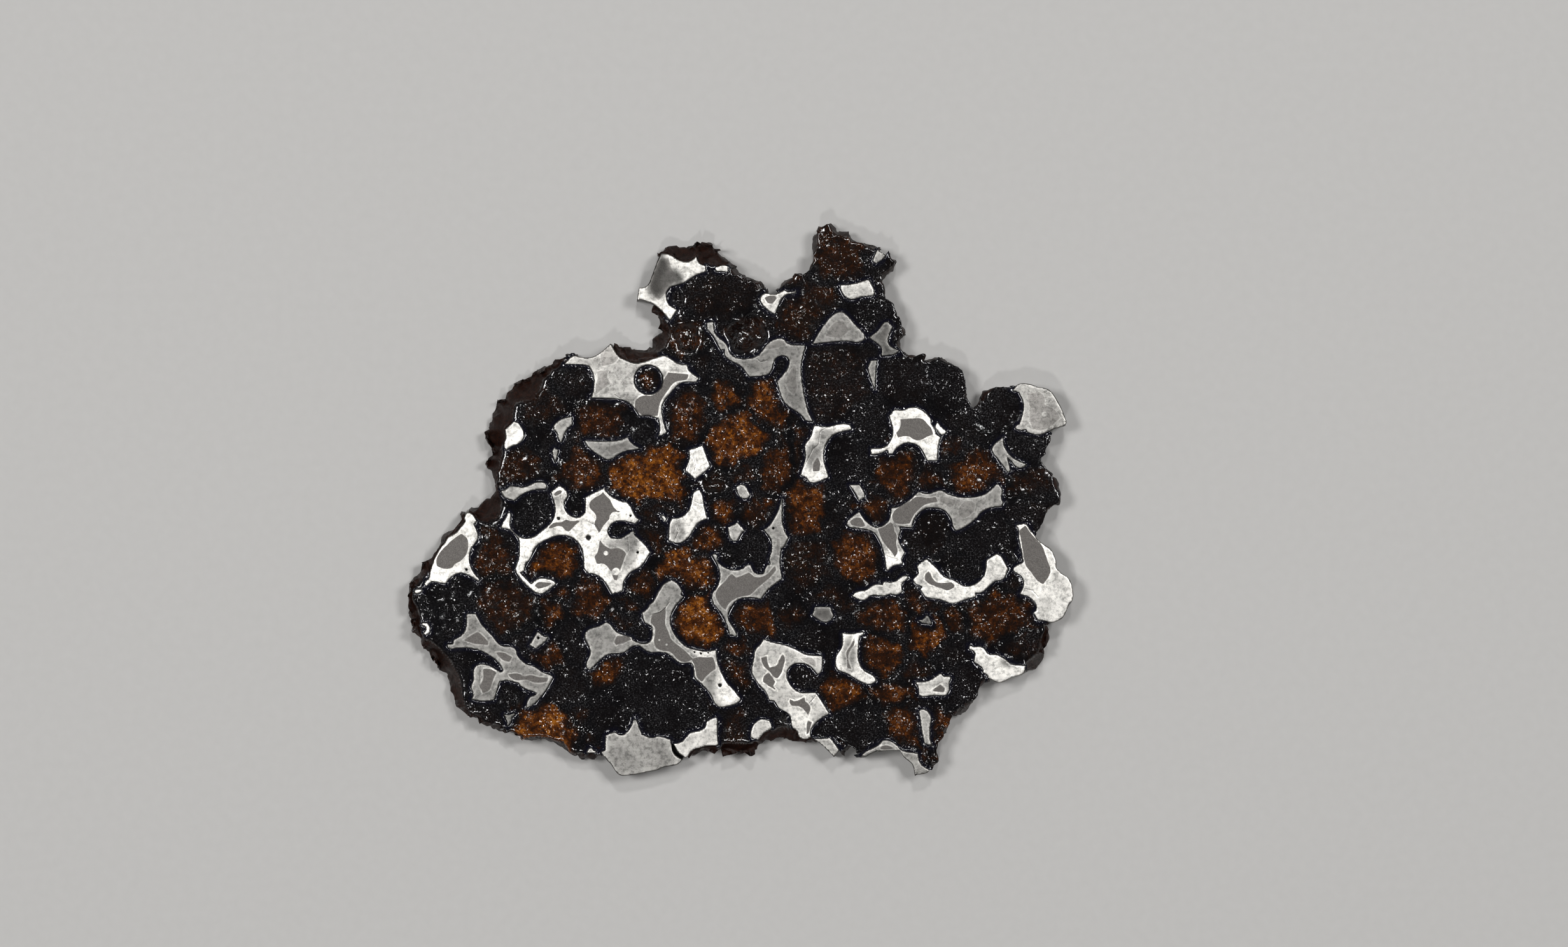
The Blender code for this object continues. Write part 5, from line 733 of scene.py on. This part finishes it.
def dropped(points, start, target, straight):
    """Where each point ends on the target's surface, in mm: straight down from the start height, or at the
    nearest place. A point that meets nothing stays at the start height."""
    mesh = bpy.data.meshes.new("probe")
    mesh.vertices.add(len(points))
    mesh.vertices.foreach_set("co", np.column_stack([points, np.full(len(points), start)]).ravel() * MM)
    probe = bpy.data.objects.new("probe", mesh)
    scene.collection.objects.link(probe)
    wrap = probe.modifiers.new("drop", "SHRINKWRAP")
    wrap.target = target
    wrap.wrap_method = "PROJECT" if straight else "NEAREST_SURFACEPOINT"
    if straight:
        wrap.use_project_z = True
        wrap.use_negative_direction = True
        wrap.use_positive_direction = False
    graph = bpy.context.evaluated_depsgraph_get()
    result = np.empty(len(points) * 3, np.float32)
    probe.evaluated_get(graph).data.vertices.foreach_get("co", result)
    bpy.data.objects.remove(probe, do_unlink=True)
    return result.reshape(-1, 3) / MM


def crystal_fields(plan):
    """For each point: the glow of the crystal that it is in, and how far it is from the seam with the next.
    A point belongs to the crystal whose own ellipse it is furthest inside, with the seams made to waver."""
    x = plan[:, 0] + 0.2 * waves(plan[:, 0], plan[:, 1], 0, 1.1, 11)
    y = plan[:, 1] + 0.2 * waves(plan[:, 0], plan[:, 1], 0, 1.1, 12)
    crystals = np.array(CRYSTALS)
    nearest = np.full(len(plan), 1e9)
    second = np.full(len(plan), 1e9)
    which = np.zeros(len(plan), int)
    for n, (cx, cy, half_width, half_height, turn, _) in enumerate(crystals):
        c, s = math.cos(math.radians(turn)), math.sin(math.radians(turn))
        u = ((x - cx) * c + (y - cy) * s) / half_width
        v = ((y - cy) * c - (x - cx) * s) / half_height
        out = (np.hypot(u, v) - 1) * math.sqrt(half_width * half_height)
        closer = out < nearest
        second = np.where(closer, nearest, np.minimum(second, out))
        nearest = np.where(closer, out, nearest)
        which[closer] = n
    return crystals[which, 5], (second - nearest) / 2


olivine_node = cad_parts["olivine_crystals"]
outline = max((smooth_ring(ring, CRYSTAL_EDGE_SPACING) for ring in top_rings(olivine_node)), key=len)
all_metal = [ring for rings in metal_rings.values() for ring in rings]
low = np.min([ring.min(axis=0) for ring in [outline] + all_metal], axis=0) - GRID_MARGIN
high = np.max([ring.max(axis=0) for ring in [outline] + all_metal], axis=0) + GRID_MARGIN
grid = hex_grid(low, high, CRYSTAL_SPACING)
plan, triangles, within = triangulated(grid, [outline, *all_metal])
in_body = np.array([0 in found for found in within])
in_metal = np.array([any(n > 0 for n in found) for found in within])
middles = plan[triangles].mean(axis=1)
beyond = np.flatnonzero(~in_body & ~in_metal)
in_gap = distance(middles[beyond], all_metal) < GAP_REACH
in_gap &= distance(middles[beyond], [outline]) < GAP_REACH
keep = in_body & ~in_metal
keep[beyond[in_gap]] = True
triangles = triangles[keep]
used, triangles = np.unique(triangles, return_inverse=True)
plan = plan[used]
triangles = triangles.reshape(-1, 3)

to_metal = distance(plan, all_metal)
to_outside = distance(plan, [outline])
glow, to_seam = crystal_fields(plan)
straight = dropped(plan, PROBE_HEIGHT, olivine_node, True)[:, 2]
nearest = dropped(plan, CRYSTAL_FACE, olivine_node, False)[:, 2]
height = np.where(straight > PROBE_HEIGHT - 1, nearest, straight)
height = np.where(to_metal < GAP_REACH, np.maximum(height, nearest), height)
depth = CRYSTAL_FACE - height
in_hollow = np.zeros(len(plan))
sunk = np.zeros(len(plan))
for x, y, half_width, half_height, deepest in HOLLOWS:
    r = np.hypot((plan[:, 0] - x) / half_width, (plan[:, 1] - y) / half_height)
    r += 0.12 * waves(plan[:, 0], plan[:, 1], 0, 1.2, 24)
    in_hollow = np.maximum(in_hollow, 1 - smooth_step(r, 0.95, 1.3))
    sunk = np.maximum(sunk, deepest * (1 - smooth_step(r, 0.25, 1.15)))
height = np.where(in_hollow > 0, CRYSTAL_FACE - sunk, height)
skin = smooth_step(depth, 0.08, 0.4) * (1 - in_hollow)

x, y = plan.T
groove = np.exp(-((to_seam / SEAM_WIDTH) ** 2))
chips = np.clip(waves(x, y, 0, 0.55, 21) - 1.25, 0, 1) + 0.6 * np.clip(waves(x, y, 0, 0.3, 22) - 1.3, 0, 1)
facets = FACET_DEPTH * waves(x, y, 0, 0.8, 23) * smooth_step(to_metal, 0.0, 0.4)
relief = facets - SEAM_DEPTH * groove - CHIP_DEPTH * chips * smooth_step(to_metal, 0.1, 0.5)
lumps = 0.1 * waves(x, y, 0, 1.3, 31) + 0.06 * waves(x, y, 0, 0.6, 32) + 0.03 * waves(x, y, 0, 0.3, 33)
rough_inside = in_hollow * (0.09 * waves(x, y, 0, 0.9, 34) + 0.04 * waves(x, y, 0, 0.45, 35))
top = height + relief * (1 - skin) + (lumps - 0.1) * skin + rough_inside
top = np.clip(top, LOWEST_SKIN, CRYSTAL_FACE + 0.02)
bottom = np.clip(BACK_STEP - relief * 0.6, 0, 0.3) * smooth_step(to_outside, 0.0, 0.3)


def roughen_rim(points, source):
    """Moves points near the outer edge sideways by lumps of three sizes, and none where a metal patch is
    close, so that the patch's own edge still fits."""
    x, y, z = points.T
    share = (1 - smooth_step(to_outside[source], 0.2, 1.4)) * smooth_step(to_metal[source], 0.05, 0.6)
    dx = 0.16 * waves(x, y, z, 1.4, 41) + 0.08 * waves(x, y, z, 0.7, 42) + 0.04 * waves(x, y, z, 0.35, 43)
    dy = 0.16 * waves(x, y, z, 1.4, 44) + 0.08 * waves(x, y, z, 0.7, 45) + 0.04 * waves(x, y, z, 0.35, 46)
    return np.column_stack([x + dx * share, y + dy * share, z])


olivine_body, source = slab("olivine_crystal_mass", plan, triangles, top, bottom, RIM_ROWS, roughen_rim)

# the faces come in the order front, back, walls: the walls and the weathered part of the front are rim
rim_share = np.concatenate([skin, np.zeros(len(plan)), np.ones(len(source) - 2 * len(plan))])
on_rim = np.ones(len(olivine_body.data.polygons), np.int32)
on_rim[:len(triangles)] = skin[triangles].mean(axis=1) > 0.5
on_rim[len(triangles):2 * len(triangles)] = 0
olivine_body.data.polygons.foreach_set("material_index", on_rim)
set_attribute(olivine_body, "glow", glow[source])
set_attribute(olivine_body, "to_metal", to_metal[source])
set_attribute(olivine_body, "to_seam", to_seam[source])
set_attribute(olivine_body, "skin", rim_share)

olivine_material, tree, shader = new_material("polished and broken olivine")
place = add_node(tree, "TexCoord").outputs["Object"]
glow_in = attribute(tree, "glow")
metal_in = attribute(tree, "to_metal")
seam_in = attribute(tree, "to_seam")
skin_in = attribute(tree, "skin")
broad = noise(place, 260.0, 3.0)
cloud = noise(place, 800.0, 5.0, 0.65)
grain = noise(place, 2800.0, 5.0, 0.75)
grit_and_glint_noise = noise(place, 5600.0, 3.0, 0.7)
shards = add_node(tree, "TexVoronoi", in_Vector=place, in_Scale=4600.0)
blocks = add_node(tree, "TexVoronoi", in_Vector=place, in_Scale=1500.0)
grains = add_node(tree, "TexVoronoi", in_Vector=place, in_Scale=3200.0)

# the painted glow of light through each crystal fades out to a dark rim beside the metal and along each
# seam, on a wavering line: the rims are partly painted shade
wider_seam = times(seam_in, 1.5)
nearest = add_node(tree, "Math", operation="MINIMUM", in_0=metal_in, in_1=wider_seam).outputs[0]
waver = remap(cloud, 0.3, 0.7, -0.35, 0.35)
nearest = plus(nearest, waver)
within = remap(nearest, 0.15, 1.25)
lit = times(within, glow_in)
grainy = remap(grain, 0.32, 0.66, 0.5, 1.3)
lit = times(lit, grainy)
clouded = remap(cloud, 0.32, 0.64, 0.55, 1.4)
lit = times(lit, clouded)
own_tone = add_node(tree, "SeparateXYZ", in_0=grains.outputs["Color"]).outputs[0]
own_tone = remap(own_tone, 0.0, 1.0, 0.42, 0.82)
lit = times(lit, own_tone, clamp=True)
# its colours run from black through rust to amber: the crystal's own colour brightened by painted glow
colours = add_node(tree, "ValToRGB", in_0=lit)
ramp = colours.color_ramp
ramp.elements[0].color = (0.0028, 0.0024, 0.003, 1)
ramp.elements[1].color = (0.34, 0.115, 0.012, 1)
for at, colour in (
    (0.12, (0.006, 0.0035, 0.003, 1)),
    (0.3, (0.022, 0.0075, 0.003, 1)),
    (0.5, (0.068, 0.0185, 0.0035, 1)),
    (0.75, (0.17, 0.05, 0.0055, 1)),
):
    ramp.elements.new(at).color = colour

# grey specks lie on the dark parts in drifts, partly grit and partly painted glints of fine sparkle, and
# the metal's border has a blue-black tinge
drift = remap(broad, 0.38, 0.62, 0.1, 1.0)
unlit = remap(lit, 0.05, 0.3, 1.0, 0.1)
grit_and_glint_share = remap(grit_and_glint_noise, 0.5, 0.68, 0.0, 0.7)
grit_and_glint_share = times(grit_and_glint_share, drift)
grit_and_glint_share = times(grit_and_glint_share, unlit)
with_grit_and_glints = mixed(grit_and_glint_share, colours.outputs[0], (0.075, 0.073, 0.077, 1))
at_metal = remap(metal_in, 0.1, 0.5, 0.85, 0.0)
rimmed = mixed(at_metal, with_grit_and_glints, (0.004, 0.004, 0.011, 1))


def crust_colour(grain):
    """The weathered skin's colour, a dull reddish brown with paler dust where the grain is high."""
    crust = add_node(grain.id_data, "ValToRGB", in_0=grain)
    crust.color_ramp.elements[0].position = 0.35
    crust.color_ramp.elements[0].color = (0.004, 0.0018, 0.0014, 1)
    crust.color_ramp.elements[1].position = 0.8
    crust.color_ramp.elements[1].color = (0.04, 0.0135, 0.0075, 1)
    return crust.outputs[0]


skinned = mixed(skin_in, rimmed, crust_colour(grain))
tree.links.new(skinned, shader.inputs["Base Color"])
rough = remap(skin_in, 0.0, 1.0, 0.12, 0.35)
tree.links.new(rough, shader.inputs["Roughness"])
shader.inputs["IOR"].default_value = 1.67


def cell_tilt(cells, most):
    """A push that tilts the surface, the same all over a cell: the cell's random colour less a half, times
    most."""
    colour = cells.outputs["Color"]
    push = add_node(colour.id_data, "VectorMath", operation="SUBTRACT", in_0=colour, in_1=(0.5, 0.5, 0.5))
    scaled = add_node(colour.id_data, "VectorMath", operation="SCALE", in_0=push.outputs[0], in_Scale=most)
    return scaled.outputs[0]


# broken faces a fraction of a millimetre across, each tilted its own way, so that some of them glint
cluster = remap(cloud, 0.44, 0.6)
livelier = remap(glow_in, 0.1, 0.6, 0.55, 1.0)
sparkle = remap(grit_and_glint_noise, 0.53, 0.58)
sparkle = times(sparkle, cluster)
sparkle = times(sparkle, livelier)
sparkle = remap(sparkle, 0.0, 1.0, 0.05, 0.95)
block_tilt = cell_tilt(blocks, 0.08)
shard_tilt = cell_tilt(shards, sparkle)
tilt = add_node(tree, "VectorMath", operation="ADD", in_0=shard_tilt, in_1=block_tilt).outputs[0]
facing = add_node(tree, "NewGeometry").outputs["Normal"]
facing = add_node(tree, "VectorMath", operation="ADD", in_0=facing, in_1=tilt).outputs[0]
facing = add_node(tree, "VectorMath", operation="NORMALIZE", in_0=facing).outputs[0]
bump = add_node(tree, "Bump", in_Strength=0.2, in_Distance=0.00004, in_Height=grain, in_Normal=facing)
tree.links.new(bump.outputs[0], shader.inputs["Normal"])
olivine_body.data.materials.append(olivine_material)

# the broken and weathered rim: the same crust, dull all over
rim_material, tree, shader = new_material("weathered olivine rim")
place = add_node(tree, "TexCoord").outputs["Object"]
grain = noise(place, 2800.0, 5.0, 0.75)
tree.links.new(crust_colour(grain), shader.inputs["Base Color"])
rough = remap(grain, 0.3, 0.7, 0.6, 0.3)
tree.links.new(rough, shader.inputs["Roughness"])
shader.inputs["Specular IOR Level"].default_value = 0.22
bump = add_node(tree, "Bump", in_Strength=0.7, in_Distance=0.00008, in_Height=grain)
tree.links.new(bump.outputs[0], shader.inputs["Normal"])
olivine_body.data.materials.append(rim_material)
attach(olivine_body, "root")
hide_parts("olivine_crystals")

# The lone round crystal in the upper left patch of metal, a small plug of the same olivine.
PLUG_FIT = 0.995
PLUG_SPACING = 0.15
PLUG_EDGE = 0.08
# PLUG_GLOW: the plug's painted glow of light through it, as for the crystals
PLUG_GLOW = 0.62
NO_SEAM = 3.0
hole = min(metal_rings["metal_upper_left"], key=len)
middle = hole.mean(axis=0)
ring = middle + (hole - middle)[::-1] * PLUG_FIT
grid = hex_grid(ring.min(axis=0), ring.max(axis=0), PLUG_SPACING)
grid = grid[inside(grid, [ring])]
grid = grid[distance(grid, [ring]) > PLUG_EDGE]
plan, triangles, _ = triangulated(grid, [ring])
triangles = triangles[inside(plan[triangles].mean(axis=1), [ring])]
to_ring = distance(plan, [ring])
x, y = plan.T
sunk_edge = 0.05 * np.exp(-((to_ring / 0.12) ** 2))
top = CRYSTAL_FACE - sunk_edge - 0.1 * np.clip(waves(x, y, 0, 0.5, 51) - 1, 0, 1)
bottom = np.full(len(plan), BACK_STEP)
lone_crystal, source = slab("olivine_lone_crystal", plan, triangles, top, bottom, 1)
set_attribute(lone_crystal, "glow", np.full(len(source), PLUG_GLOW))
set_attribute(lone_crystal, "to_metal", to_ring[source])
set_attribute(lone_crystal, "to_seam", np.full(len(source), NO_SEAM))
set_attribute(lone_crystal, "skin", np.zeros(len(source)))
lone_crystal.data.materials.append(olivine_material)
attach(lone_crystal, "root")
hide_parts("olivine_round_crystal")
